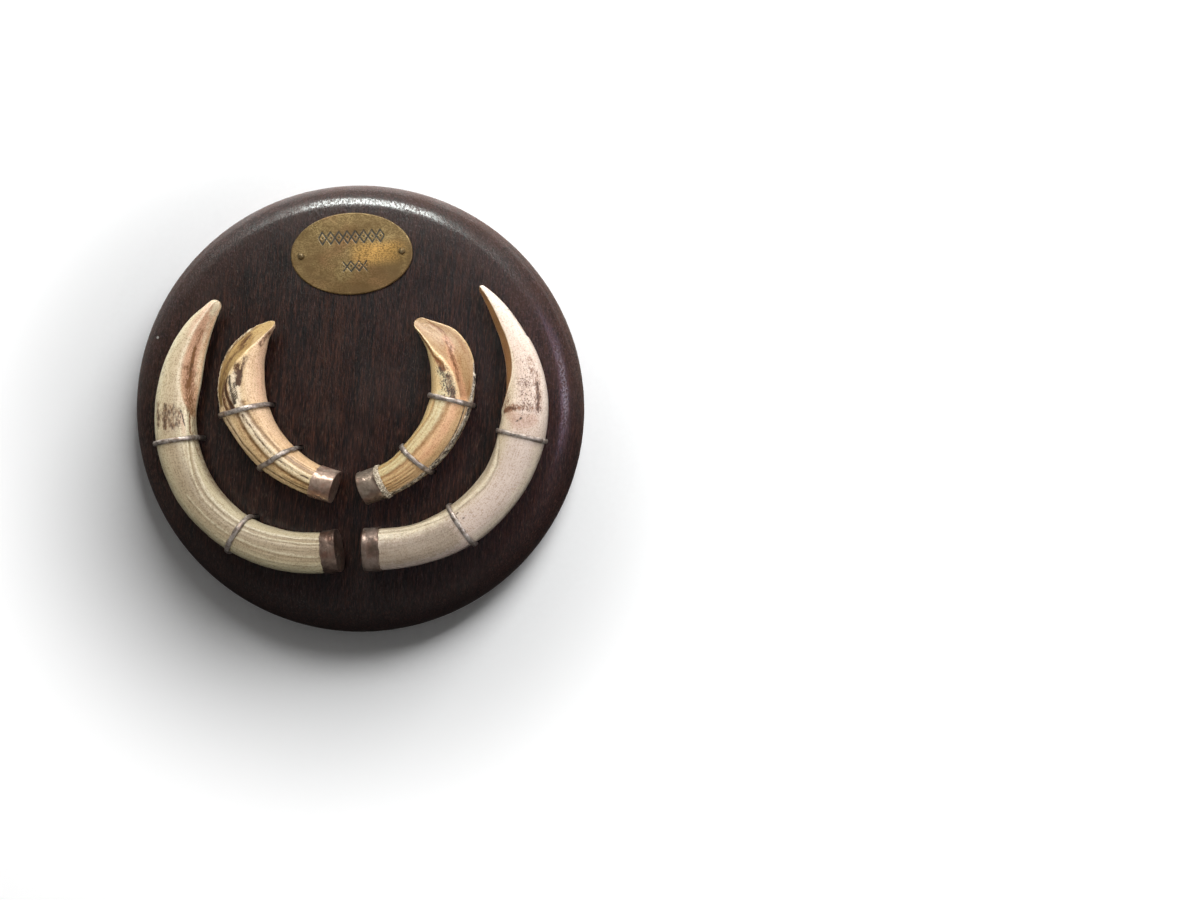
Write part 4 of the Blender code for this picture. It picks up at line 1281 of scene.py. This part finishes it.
# Soft lamps: name, place, size, watts, colour, the rays that don't see it, and what it lights.
WINDOWS = [
    ("wall wash", (0.40, -0.46, 0.60), (0.60, 0.40), 12.0, (0.985, 0.995, 1.0), SOFT, "stage"),
    ("high window", (0.26, -0.44, 0.62), (0.90, 0.45), 2.0, (1.0, 0.985, 0.955), SOFT, "pieces"),
    ("near window", (0.02, -0.31, 0.36), (0.50, 0.24), 2.2, (1.0, 0.985, 0.96), SOFT, IVORY_AND_METAL),
    ("front fill", (0.14, -0.80, 0.10), (0.90, 0.60), 5.4, (1.0, 0.98, 0.96), SOFT, IVORY_AND_METAL),
    ("metal window", (0.05, -0.50, 0.50), (0.60, 0.25), 3.2, (1.0, 0.98, 0.95), GLINT, IVORY_AND_METAL),
    ("front window", (-0.18, -0.755, 0.75), (0.44, 0.30), 14.0, (0.92, 1.0, 0.97), GLINT, "board"),
    ("front glow", (-0.26, -0.755, 0.75), (0.62, 0.52), 2.4, (1.0, 0.97, 0.92), GLINT, "board"),
    ("side glow", (0.72, -0.83, 0.16), (0.62, 0.60), 2.8, (0.92, 0.60, 0.92), GLINT, "board"),
    ("side window", (0.72, -0.83, 0.14), (0.30, 0.30), 1.9, (0.86, 0.86, 1.0), GLINT, "board"),
    ("side gleam", (0.72, -0.83, 0.14), (0.50, 0.44), 2.6, (0.96, 0.92, 1.0), GLINT, IVORY_AND_METAL),
]


def hoop_path(form, along, slant, thickness, count=40):
    """A hoop's middle line and, at each point, which way its flat side faces, in metres."""
    clear = HOOP_GAP + thickness / MM / 2
    angles = np.linspace(-HOOP_WRAP, math.pi + HOOP_WRAP, count)
    at = along - slant * np.cos(angles)
    wobble = 0.10 * rough_noise(np.linspace(0, 9, count), along * np.ones(count), 71, 2)
    rings = form.section(at, angles[:, None], clear + wobble[:, None])
    path = form.place(at, rings)[:, 0]
    outwards = form.place(at, form.section(at, angles[:, None], clear + 1.0))[:, 0] - path
    feet = [path[0].copy(), path[-1].copy()]
    for foot in feet:
        foot[1] = -(BOARD_THICKNESS - WIRE_HOLE_DEPTH + FOOT_GAP) * MM
    rise = [[path[i] * (1 - t) + feet[i] * t for t in (0.25, 0.5, 0.75, 1.0)] for i in (0, -1)]
    path = np.concatenate([rise[0][::-1], path, rise[1]])
    sideways = [np.array([outwards[i][0], 0.0, outwards[i][2]]) for i in (0, -1)]
    outwards = np.concatenate([[sideways[0]] * 4, outwards, [sideways[1]] * 4])
    return path, outwards / np.linalg.norm(outwards, axis=1, keepdims=True)


def drill(name, places, radius, low, high, sides=24):
    """Cylinders standing on the bench at these places, as one mesh object."""
    form = bmesh.new()
    for x, y in places:
        made = bmesh.ops.create_cone(
            form, cap_ends=True, segments=sides,
            radius1=radius * MM, radius2=radius * MM, depth=(high - low) * MM,
        )
        bmesh.ops.translate(form, verts=made["verts"], vec=Vector((x, y, (low + high) / 2)) * MM)
    mesh = bpy.data.meshes.new(name)
    form.to_mesh(mesh)
    form.free()
    tool = bpy.data.objects.new(name, mesh)
    bpy.context.scene.collection.objects.link(tool)
    return tool


class PLAQUE_OT_board(bpy.types.Operator):
    """Turns the board, drills it and stains it"""

    bl_idname = "plaque.board"
    bl_label = "Board"

    def execute(self, context):
        top = BOARD_THICKNESS
        widest = top - EDGE_DROP
        rounding = arc_points((FACE_RADIUS, widest), 90, 0, (BOARD_RADIUS - FACE_RADIUS, EDGE_DROP), 30)
        crown = (*np.linspace(0, CROWN_RADIUS, 12), *np.linspace(CROWN_RADIUS, FACE_RADIUS, 12)[1:])
        profile = [(r, top) for r in crown]
        profile = [(r, self.crowned(r, h)) for r, h in profile + rounding]
        profile += arc_points((BACK_RADIUS, widest), 0, -90, (BOARD_RADIUS - BACK_RADIUS, widest), 18)
        profile += [(r, 0.0) for r in np.linspace(BACK_RADIUS, 0, 12)[1:]]
        mesh = turned_mesh("plaque_board", [(r * MM, h * MM) for r, h in profile], BOARD_STEPS)

        feet = []
        for name, values in TUSKS.items():
            form = TuskForm(name, **values)
            for along, slant in form.hoops:
                path, _ = hoop_path(form, along, slant, look().wire_thickness)
                feet += [(path[i][0] / MM, path[i][2] / MM) for i in (0, -1)]
        pins = [sum(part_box(f"plate_pin_{hand}"), Vector()) / 2 for hand in ("left", "right")]
        pins = [(pin.x / MM, pin.z / MM) for pin in pins]
        drills = [
            drill("wire drill", feet, WIRE_HOLE_RADIUS, top - WIRE_HOLE_DEPTH, top + DRILL_CLEAR),
            drill("pin drill", pins, PIN_HOLE_RADIUS, top - PIN_REACH, top + DRILL_CLEAR),
            drill("nail drill", [(0.0, NAIL_UP)], NAIL_HOLE_RADIUS, -DRILL_CLEAR, NAIL_HOLE_DEPTH),
        ]
        board = bpy.data.objects.new("board blank", mesh)
        context.scene.collection.objects.link(board)
        for tool in drills:
            hole = board.modifiers.new(tool.name, "BOOLEAN")
            hole.operation = "DIFFERENCE"
            hole.solver = "EXACT"
            hole.object = tool
        graph = context.evaluated_depsgraph_get()
        drilled = bpy.data.meshes.new_from_object(board.evaluated_get(graph))
        for spare in [board, *drills]:
            bpy.data.objects.remove(spare, do_unlink=True)
        stand_up(drilled)
        point_outwards(drilled)
        drilled.shade_smooth()
        drilled.set_sharp_from_angle(angle=math.radians(35))
        drilled.name = "plaque_board"
        add_piece("plaque_board", drilled, wood_material(look()), "dark_wood", "board")
        return {"FINISHED"}

    def crowned(self, radius, height):
        """The face falls away a little before the rim's rounding starts."""
        reach = min(max((radius - CROWN_RADIUS) / (FACE_RADIUS + 4 - CROWN_RADIUS), 0.0), 1.0)
        return height - CROWN_DROP * reach**2 * (height - BOARD_THICKNESS + EDGE_DROP) / EDGE_DROP


class PLAQUE_OT_tusks(bpy.types.Operator):
    """Carves and colours the four tusks"""

    bl_idname = "plaque.tusks"
    bl_label = "Tusks"

    def execute(self, context):
        for name, values in TUSKS.items():
            row, hand = name.split("_")
            form = TuskForm(name, **values)
            rings, masks, lay = carve_tusk(form)
            mesh = grid_mesh(f"tusk_{name}", rings)
            write_mask(mesh, "lay", lay)
            for label, values_there in masks.items():
                write_mask(mesh, label, values_there)
            grain, sheen = (0.30, 0.30) if row == "outer" else (0.42, 0.27)
            material = ivory_material(f"{row} {hand} ivory", IVORY[name], grain, sheen)
            add_piece(f"tusk_{name}", mesh, material, f"{row}_ivory", f"{row}_tusk_{hand}")
        return {"FINISHED"}


class PLAQUE_OT_caps(bpy.types.Operator):
    """Fits a dented sheet-metal cap over each root"""

    bl_idname = "plaque.caps"
    bl_label = "Caps"

    def execute(self, context):
        finish = {
            "outer_left": (srgb(158, 136, 122), srgb(74, 60, 53), srgb(146, 110, 94), 0.56),
            "outer_right": (srgb(170, 150, 138), srgb(84, 72, 62), srgb(148, 118, 104), 0.50),
            "inner_left": (srgb(226, 200, 180), srgb(112, 90, 78), srgb(206, 162, 142), 0.44),
            "inner_right": (srgb(196, 178, 160), srgb(100, 88, 76), srgb(176, 146, 130), 0.46),
        }
        for seed, (name, values) in enumerate(TUSKS.items()):
            form = TuskForm(name, **values)
            clean, dull, warm, amount = finish[name]
            row, hand = name.split("_")
            material = tarnished_material(f"{row} {hand} cap silver", clean, dull, warm, 130.0, amount)
            mesh = grid_mesh(f"cap_{name}", self.cup(form, seed), 40)
            add_piece(f"cap_{name}", mesh, material, "cap_metal", f"{row}_cap_{hand}")
        return {"FINISHED"}

    def cup(self, form, seed):
        """Rings of a cup: inside from its floor to the ragged mouth, then the outside and its end."""
        count = 144
        angles = np.linspace(0, 2 * math.pi, count, endpoint=False)
        turn = angles / (2 * math.pi) * 64
        wall = look().cap_wall / MM
        mouth, end = form.length - form.cap, form.length
        ragged = 0.28 * rough_noise(turn / 2.0, seed * 7.0, 83) + 0.16 * rough_noise(turn, seed * 9.0, 89)
        walk = [(end - 0.9, 0.06, 0.0), (mouth + 1.5, 0.06, 0.0), (mouth, 0.06, 1.0)]
        walk += [(mouth - 0.05, wall * 0.5, 1.0), (mouth + 0.06, wall, 1.0)]
        shares, places = np.linspace(0.1, 1, 22), np.linspace(mouth + 0.4, end - 0.5, 22)
        walk += [(along, wall, 1.0 - share) for share, along in zip(shares, places)]
        corner = np.radians((25, 50, 75, 90))
        walk += [(end - 0.5 + 0.5 * math.sin(t), wall - 0.6 * (1 - math.cos(t)), 0.0) for t in corner]
        rings = []
        for along, offset, edge in walk:
            at = np.full(1, along)
            outside = offset >= wall * 0.9
            dents = 0.16 * rough_noise(turn / 5, along / 2.6 + seed * 11, 97) if outside else 0.0
            section = form.section(at, angles[None, :], offset + dents - 0.08 * outside)
            shift = (ragged * edge)[None, :, None]
            here = form.place(at, section)
            ahead = form.place(at + 0.5, section) - form.place(at - 0.5, section)
            rings.append((here + ahead * shift)[0])
        rings = np.array(rings)
        hub = rings[-1].mean(axis=0)
        section = form.section(np.full(1, end), angles[None])
        ahead = (form.place(np.full(1, end + 0.5), section) - form.place(np.full(1, end - 0.5), section))[0]
        for share in (0.97, 0.9, 0.7, 0.45, 0.2):
            dish = 0.35 * (1 - share) * rough_noise(turn / 9, share * 6 + seed, 101)
            flat = hub + (rings[len(walk) - 1] - hub) * share
            flat = flat - ahead * (0.12 if share < 0.95 else 0.0) + ahead * dish[:, None] * 0.5
            rings = np.concatenate([rings, flat[None]])
        return rings


class PLAQUE_OT_hoops(bpy.types.Operator):
    """Bends the flattened wire hoops over the tusks"""

    bl_idname = "plaque.hoops"
    bl_label = "Wire Hoops"

    def execute(self, context):
        metal = tarnished_material(
            "tarnished wire", srgb(236, 226, 216), srgb(122, 110, 102), srgb(172, 154, 140), 320.0, 0.50,
            shaded_ends=True,
        )
        tree = self.wire_tree()
        for name, values in TUSKS.items():
            form = TuskForm(name, **values)
            for level, (along, slant) in zip(("upper", "lower"), form.hoops):
                path, outwards = hoop_path(form, along, slant, look().wire_thickness)
                mesh = self.sweep(tree, path, outwards, metal)
                mesh.name = f"hoop_{name}_{level}"
                add_piece(mesh.name, mesh, metal, "wire_metal", f"{name}_hoop_{level}")
        bpy.data.node_groups.remove(tree)
        return {"FINISHED"}

    def wire_tree(self):
        """Geometry Nodes: an oval swept along an edge path, flat side set by the path's own vectors."""
        tree, given, leave = new_group(
            "flattened wire",
            [
                ("Path", "geometry", None),
                ("Width", "value", 2.5 * MM),
                ("Thickness", "value", 1.4 * MM),
                ("Sides", "whole", WIRE_SIDES),
                ("Metal", "material", None),
            ],
            [("Wire", "geometry")],
            "GeometryNodeTree",
        )
        facing = node(tree, "GeometryNodeInputNamedAttribute", {"Name": "outwards"}, data_type="FLOAT_VECTOR")
        swell = node(tree, "GeometryNodeInputNamedAttribute", {"Name": "swell"}, data_type="FLOAT")
        curve = node(tree, "GeometryNodeMeshToCurve", {"Mesh": given["Path"]})
        turned = node(
            tree, "GeometryNodeSetCurveNormal",
            {"Curve": curve.outputs[0], "Normal": facing.outputs["Attribute"]}, mode="FREE",
        )
        circle = node(
            tree, "GeometryNodeCurvePrimitiveCircle",
            {"Resolution": given["Sides"], "Radius": 0.5}, mode="RADIUS",
        )
        size = node(tree, "ShaderNodeCombineXYZ", {"X": given["Thickness"], "Y": given["Width"], "Z": 1.0})
        oval = node(tree, "GeometryNodeTransform", {"Geometry": circle.outputs[0], "Scale": size.outputs[0]})
        swept = node(
            tree, "GeometryNodeCurveToMesh",
            {"Curve": turned.outputs[0], "Profile Curve": oval.outputs[0],
             "Scale": swell.outputs["Attribute"], "Fill Caps": True},
        )
        smooth = node(tree, "GeometryNodeSetShadeSmooth", {"Geometry": swept.outputs[0]})
        real = node(tree, "GeometryNodeRealizeInstances", {"Geometry": smooth.outputs[0]})
        coat = {"Geometry": real.outputs[0], "Material": given["Metal"]}
        painted = node(tree, "GeometryNodeSetMaterial", coat)
        put(tree, leave["Wire"], painted.outputs[0])
        return tree

    def sweep(self, tree, path, outwards, metal):
        """The wire along one path: a little swollen here and there, and painted darker at its two ends,
        more at one than the other, as painted shade where it goes down into the board.
        """
        line = bpy.data.meshes.new("wire path")
        line.from_pydata(path.tolist(), [(i, i + 1) for i in range(len(path) - 1)], [])
        share = np.linspace(0, 1, len(path))
        own = path[0, 0] * 900 * np.ones(len(path))
        swell = 1 + 0.09 * rough_noise(np.linspace(0, 14, len(path)), own, 73)
        # painted shade at the ends, stronger at one end, as the light falls from one side
        ends = np.clip((0.17 - np.minimum(share, 1 - share)) / 0.08, 0, 1)
        ends *= 0.9 if path[0, 0] > path[-1, 0] else 0.7
        write_layer(line, "outwards", outwards)
        write_layer(line, "swell", swell)
        write_layer(line, "ends", ends)
        sizes = {"Width": look().wire_width, "Thickness": look().wire_thickness, "Sides": WIRE_SIDES}
        made = grown(line, tree, {**sizes, "Metal": metal})
        form = bmesh.new()
        form.from_mesh(made)
        bmesh.ops.remove_doubles(form, verts=form.verts, dist=1e-6)
        bmesh.ops.recalc_face_normals(form, faces=form.faces)
        form.to_mesh(made)
        form.free()
        return made


class PLAQUE_OT_filler(bpy.types.Operator):
    """Packs crumbly filler round the inner right tusk, against its cap"""

    bl_idname = "plaque.filler"
    bl_label = "Filler"

    def execute(self, context):
        form = TuskForm("inner_right", **TUSKS["inner_right"])
        end = form.length - form.cap + 0.5
        angles = np.linspace(0, 2 * math.pi, 220, endpoint=False)
        turn = angles / (2 * math.pi) * 64
        rings = []
        for share in np.linspace(0, 1, 16, endpoint=False):
            swing = 2 * math.pi * share
            along = end - 1.7 - 1.5 * math.cos(swing)
            rough = rough_noise(turn * 1.2, share * 7.0, 113)
            offset = 0.15 + 0.62 * math.sin(swing) + 0.28 * rough * max(math.sin(swing), 0)
            at = np.full(1, along)
            rings.append(form.place(at, form.section(at, angles[None], offset))[0])
        rings = np.array(rings)
        points = rings.reshape(-1, 3)
        here = np.arange(len(points)).reshape(rings.shape[:2])
        below, nxt = np.roll(here, -1, axis=0), np.roll(here, -1, axis=1)
        faces = np.stack([here, nxt, np.roll(below, -1, axis=1), below], axis=-1).reshape(-1, 4)
        mesh = bpy.data.meshes.new("filler bead")
        mesh.from_pydata(points.tolist(), [], faces.tolist())
        point_outwards(mesh)
        mesh.shade_smooth()
        material = filler_material()
        crumbed = self.scatter(mesh, material)
        add_piece("filler_inner_right", crumbed, material, "filler", "inner_right_filler")
        return {"FINISHED"}

    def scatter(self, mesh, material):
        """Geometry Nodes: crumbs of filler stuck over the bead."""
        tree, given, leave = new_group(
            "crumbs",
            [
                ("Bead", "geometry", None),
                ("Crumbs per Square Metre", "value", 900000.0),
                ("Crumb Size", "value", 0.26 * MM),
                ("Seed", "whole", 5),
                ("Filler", "material", None),
            ],
            [("Filler Bead", "geometry")],
            "GeometryNodeTree",
        )
        spots = node(
            tree, "GeometryNodeDistributePointsOnFaces",
            {"Mesh": given["Bead"], "Density": given["Crumbs per Square Metre"], "Seed": given["Seed"]},
            distribute_method="RANDOM",
        )
        lump = node(tree, "GeometryNodeMeshIcoSphere", {"Radius": given["Crumb Size"], "Subdivisions": 1})
        vary = node(tree, "FunctionNodeRandomValue", {"Seed": given["Seed"]}, data_type="FLOAT_VECTOR")
        put(tree, vary.inputs[0], (0.35, 0.35, 0.35))
        put(tree, vary.inputs[1], (1.3, 1.3, 1.0))
        placed = node(
            tree, "GeometryNodeInstanceOnPoints",
            {"Points": spots.outputs["Points"], "Instance": lump.outputs[0],
             "Rotation": spots.outputs["Rotation"], "Scale": vary.outputs[0]},
        )
        joined = node(tree, "GeometryNodeJoinGeometry")
        put(tree, joined.inputs[0], given["Bead"])
        put(tree, joined.inputs[0], placed.outputs[0])
        real = node(tree, "GeometryNodeRealizeInstances", {"Geometry": joined.outputs[0]})
        coat = {"Geometry": real.outputs[0], "Material": given["Filler"]}
        painted = node(tree, "GeometryNodeSetMaterial", coat)
        put(tree, leave["Filler Bead"], painted.outputs[0])
        made = grown(mesh, tree, {"Filler": material})
        bpy.data.node_groups.remove(tree)
        made.name = "filler_inner_right"
        return made


class PLAQUE_OT_plate(bpy.types.Operator):
    """Cuts the oval plate, engraves its plain ornament and pins it to the board"""

    bl_idname = "plaque.plate"
    bl_label = "Plate and Pins"

    def execute(self, context):
        add_piece("plate_engraved", self.plate_mesh(), plate_material(look()), "plate_brass", "name_plate")
        pin_metal = tarnished_material(
            "dull pin brass", srgb(190, 172, 136), srgb(84, 70, 44), srgb(160, 132, 84), 500.0, 0.55
        )
        for hand in ("left", "right"):
            low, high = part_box(f"plate_pin_{hand}")
            radius = (high.x - low.x) / 2
            head, face = -low.y, -PLATE_LOW.y
            shank = [(0.0006, face), (0.0006, -high.y), (0.0, -high.y)]
            turns = np.radians(np.arange(0, 91, 9))
            dome = [(radius * math.sin(t), face + (head - face) * math.cos(t)) for t in turns]
            mesh = turned_mesh(f"pin_{hand}", dome + shank, 40)
            stand_up(mesh)
            for vertex in mesh.vertices:
                vertex.co.x += (low.x + high.x) / 2
                vertex.co.z += (low.z + high.z) / 2
            point_outwards(mesh)
            mesh.shade_smooth()
            mesh.set_sharp_from_angle(angle=math.radians(50))
            add_piece(f"pin_{hand}", mesh, pin_metal, "plate_brass", f"plate_pin_{hand}")
        return {"FINISHED"}

    def engraving(self, x, y):
        """How deep the graver went, 0 to 1: a band of dotted lozenges, and a short one below."""
        def band(x, y, half_length, pitch, half_height, line):
            phase = (x / pitch) % 1.0 - 0.5
            edge = np.abs(np.abs(phase) * 2 * half_height + np.abs(y) - half_height)
            edge = edge / math.hypot(1, 2 * half_height / pitch)
            inside = np.abs(x) <= half_length
            cut = np.clip((line - edge) / 0.12, 0, 1) * (np.abs(y) <= half_height + line)
            dot = np.clip((0.55 - np.hypot(phase * pitch, y)) / 0.15, 0, 1)
            return np.maximum(cut, dot) * inside

        upper = band(x - 0.3, y - 8.2, 16.4, 4.1, 3.0, 0.46)
        lower = band(x - 1.4, y + 6.3, 6.0, 4.0, 2.5, 0.42)
        return np.maximum(upper, lower)

    def plate_mesh(self):
        """A fine grid bent to an oval, its face cut by the graver, with an edge and a back."""
        middle = (PLATE_LOW + PLATE_HIGH) / 2
        turn = PLATE_TURN
        half_length, half_width = 30.2, 20.3
        nx, ny = 300, 204
        u, v = np.meshgrid(np.linspace(-1, 1, nx), np.linspace(-1, 1, ny), indexing="ij")
        px = u * np.sqrt(1 - v * v / 2) * half_length
        py = v * np.sqrt(1 - u * u / 2) * half_width
        cut = self.engraving(px, py)
        radius = np.hypot(px / half_length, py / half_width)
        wave = 0.10 * rough_noise(px / 14 + 8, py / 14 + 8, 131, 2)
        thick = (PLATE_HIGH.y - PLATE_LOW.y) / MM
        drop = 0.34 * np.clip((radius - 0.974) / 0.026, 0, 1) ** 2
        face = thick - 0.02 - drop - 0.14 * cut + wave - 0.10
        shade = np.clip((px * 0.55 - py) / 14 - 0.40, 0, 1)
        shade += 0.55 * np.clip((-px - 4 - py * 0.3) / 18, 0, 1)
        # painted reflection: where the plate is painted brighter gold
        golden = np.clip((px + 2) / 8, 0, 1) * np.exp(-(((py + 0.5) / 5.5) ** 4))
        golden *= np.clip((29 - px) / 8, 0, 1)
        around = [(i, 0) for i in range(nx - 1)] + [(nx - 1, j) for j in range(ny - 1)]
        around += [(i, ny - 1) for i in range(nx - 1, 0, -1)] + [(0, j) for j in range(ny - 1, 0, -1)]
        rim = np.array([i * ny + j for i, j in around])
        front = np.stack([px, py, face], axis=-1).reshape(-1, 3)
        back = front[rim].copy()
        back[:, 2] = -SUNK
        points = np.concatenate([front, back, [[0.0, 0.0, -SUNK]]])
        index = np.arange(nx * ny).reshape(nx, ny)
        faces = np.stack([index[:-1, :-1], index[1:, :-1], index[1:, 1:], index[:-1, 1:]], axis=-1)
        faces = faces.reshape(-1, 4).tolist()
        low = nx * ny + np.arange(len(rim))
        for i in range(len(rim)):
            j = (i + 1) % len(rim)
            faces.append((int(rim[i]), int(rim[j]), int(low[j]), int(low[i])))
            faces.append((int(low[i]), int(low[j]), len(points) - 1))
        x = points[:, 0] * math.cos(turn) - points[:, 1] * math.sin(turn) + middle.x / MM
        up = points[:, 0] * math.sin(turn) + points[:, 1] * math.cos(turn) + middle.z / MM
        out = points[:, 2] - PLATE_HIGH.y / MM
        mesh = bpy.data.meshes.new("plate_engraved")
        mesh.from_pydata((np.stack([x, -out, up], axis=-1) * MM).tolist(), [], faces)
        unmarked = np.zeros(len(points) - nx * ny)
        for label, values in (("engraved", cut), ("shade", shade), ("golden", golden)):
            write_layer(mesh, label, np.concatenate([values.ravel(), unmarked]))
        point_outwards(mesh)
        mesh.shade_smooth()
        mesh.set_sharp_from_angle(angle=math.radians(50))
        return mesh


class PLAQUE_OT_stage(bpy.types.Operator):
    """Sets up the pale wall, the floor, the soft lights and the camera"""

    bl_idname = "plaque.stage"
    bl_label = "Stage"

    def execute(self, context):
        self.wall()
        self.floor()
        self.lamps()
        self.world(context.scene)
        self.camera(context.scene)
        context.scene.view_settings.view_transform = "Standard"
        return {"FINISHED"}

    def stand(self, name, points, faces, material):
        mesh = bpy.data.meshes.new(name)
        mesh.from_pydata(points, [], faces)
        mesh.materials.append(material)
        thing = bpy.data.objects.new(name, mesh)
        bpy.context.scene.collection.objects.link(thing)

    def wall(self):
        """A wide ring facing the room. Its hole is hidden by the board, and lights the board's back."""
        sides = 96
        turns = np.linspace(0, 2 * math.pi, sides, endpoint=False)
        radii = (WALL_HOLE, WALL_REACH)
        points = [(r * math.sin(t), WALL_GAP, r * math.cos(t)) for r in radii for t in turns]
        faces = [(i, (i + 1) % sides, (i + 1) % sides + sides, i + sides) for i in range(sides)]
        self.stand("wall", points, faces, wall_material(look()))

    def floor(self):
        corners = ((-1, -1), (1, -1), (1, 1), (-1, 1))
        points = [(x * WALL_REACH, y * WALL_REACH, FLOOR_LEVEL) for x, y in corners]
        self.stand("floor", points, [(0, 1, 2, 3)], floor_material(look()))

    def lamps(self):
        """Soft windows: one washes the wall, three light the pieces, and the rest are only reflected."""
        lit = ("stage", "pieces", "board", IVORY_AND_METAL)
        groups = {name: bpy.data.collections.new(f"lit {name}") for name in lit}
        for thing in bpy.context.scene.objects:
            if thing.type != "MESH":
                continue
            staged = thing.name in ("wall", "floor")
            groups["stage" if staged else "pieces"].objects.link(thing)
            if not staged:
                groups["board" if thing.name == "plaque_board" else IVORY_AND_METAL].objects.link(thing)
        for name, place, size, power, colour, unseen_by, lights in WINDOWS:
            light = bpy.data.lights.new(name, "AREA")
            light.shape = "RECTANGLE"
            light.size, light.size_y = size
            light.energy = power * look().lamp_power
            light.color = colour
            thing = bpy.data.objects.new(name, light)
            thing.location = place
            aim = Vector(LAMP_AIM) - Vector(place)
            thing.rotation_euler = aim.to_track_quat("-Z", "Y").to_euler()
            setattr(thing, unseen_by, False)
            thing.light_linking.receiver_collection = groups[lights]
            bpy.context.scene.collection.objects.link(thing)

    def world(self, scene):
        """Dim in front and below, brighter above and behind, and white to the camera."""
        world = bpy.data.worlds.new("studio")
        world.use_nodes = True
        scene.world = world
        tree = world.node_tree
        way = node(tree, "ShaderNodeTexCoord").outputs["Generated"]
        parts = node(tree, "ShaderNodeSeparateXYZ", {"Vector": way}).outputs
        glow = remap(tree, parts["Z"], -0.3, 0.9, 0.03, 0.22)
        glow = plus(tree, glow, remap(tree, parts["Y"], 0.05, 0.9, 0.0, 0.6))
        seen = node(tree, "ShaderNodeLightPath").outputs["Is Camera Ray"]
        strength = node(tree, "ShaderNodeMix", data_type="FLOAT")
        for index, value in ((0, seen), (2, glow), (3, 0.95)):
            put(tree, strength.inputs[index], value)
        background = tree.nodes["Background"]
        background.inputs["Color"].default_value = (1.0, 0.96, 0.93, 1.0)
        put(tree, background.inputs["Strength"], strength.outputs[0])

    def camera(self, scene):
        """Square to the wall, right of the board's middle, as the photograph was taken."""
        lens = bpy.data.cameras.new("camera")
        lens.lens = LENS
        lens.sensor_width = 36.0
        thing = bpy.data.objects.new("camera", lens)
        thing.location = CAMERA_PLACE
        thing.rotation_euler = (math.pi / 2, 0.0, 0.0)
        scene.collection.objects.link(thing)
        scene.camera = thing


class PLAQUE_PT_panel(bpy.types.Panel):
    """Lists the plaque's pieces and the values that shape them"""

    bl_label = "Tusk Plaque"
    bl_idname = "PLAQUE_PT_panel"
    bl_space_type = "VIEW_3D"
    bl_region_type = "UI"
    bl_category = "Plaque"

    def draw(self, context):
        for name in PlaqueLook.__annotations__:
            self.layout.prop(context.scene.plaque_look, name)
        for operator in OPERATORS:
            self.layout.operator(operator.bl_idname)


OPERATORS = (
    PLAQUE_OT_board,
    PLAQUE_OT_tusks,
    PLAQUE_OT_caps,
    PLAQUE_OT_hoops,
    PLAQUE_OT_filler,
    PLAQUE_OT_plate,
    PLAQUE_OT_stage,
)
CLASSES = (PlaqueLook, *OPERATORS, PLAQUE_PT_panel)


def register():
    for cls in CLASSES:
        bpy.utils.register_class(cls)
    bpy.types.Scene.plaque_look = bpy.props.PointerProperty(type=PlaqueLook)


def unregister():
    del bpy.types.Scene.plaque_look
    for cls in reversed(CLASSES):
        bpy.utils.unregister_class(cls)


def main():
    register()
    build_grain_group()
    build_stain_group()
    build_tarnish_group()
    build_dust_group()
    for operator in OPERATORS:
        group, name = operator.bl_idname.split(".")
        getattr(getattr(bpy.ops, group), name)()
    bpy.context.view_layer.update()


if __name__ == "__main__":
    main()
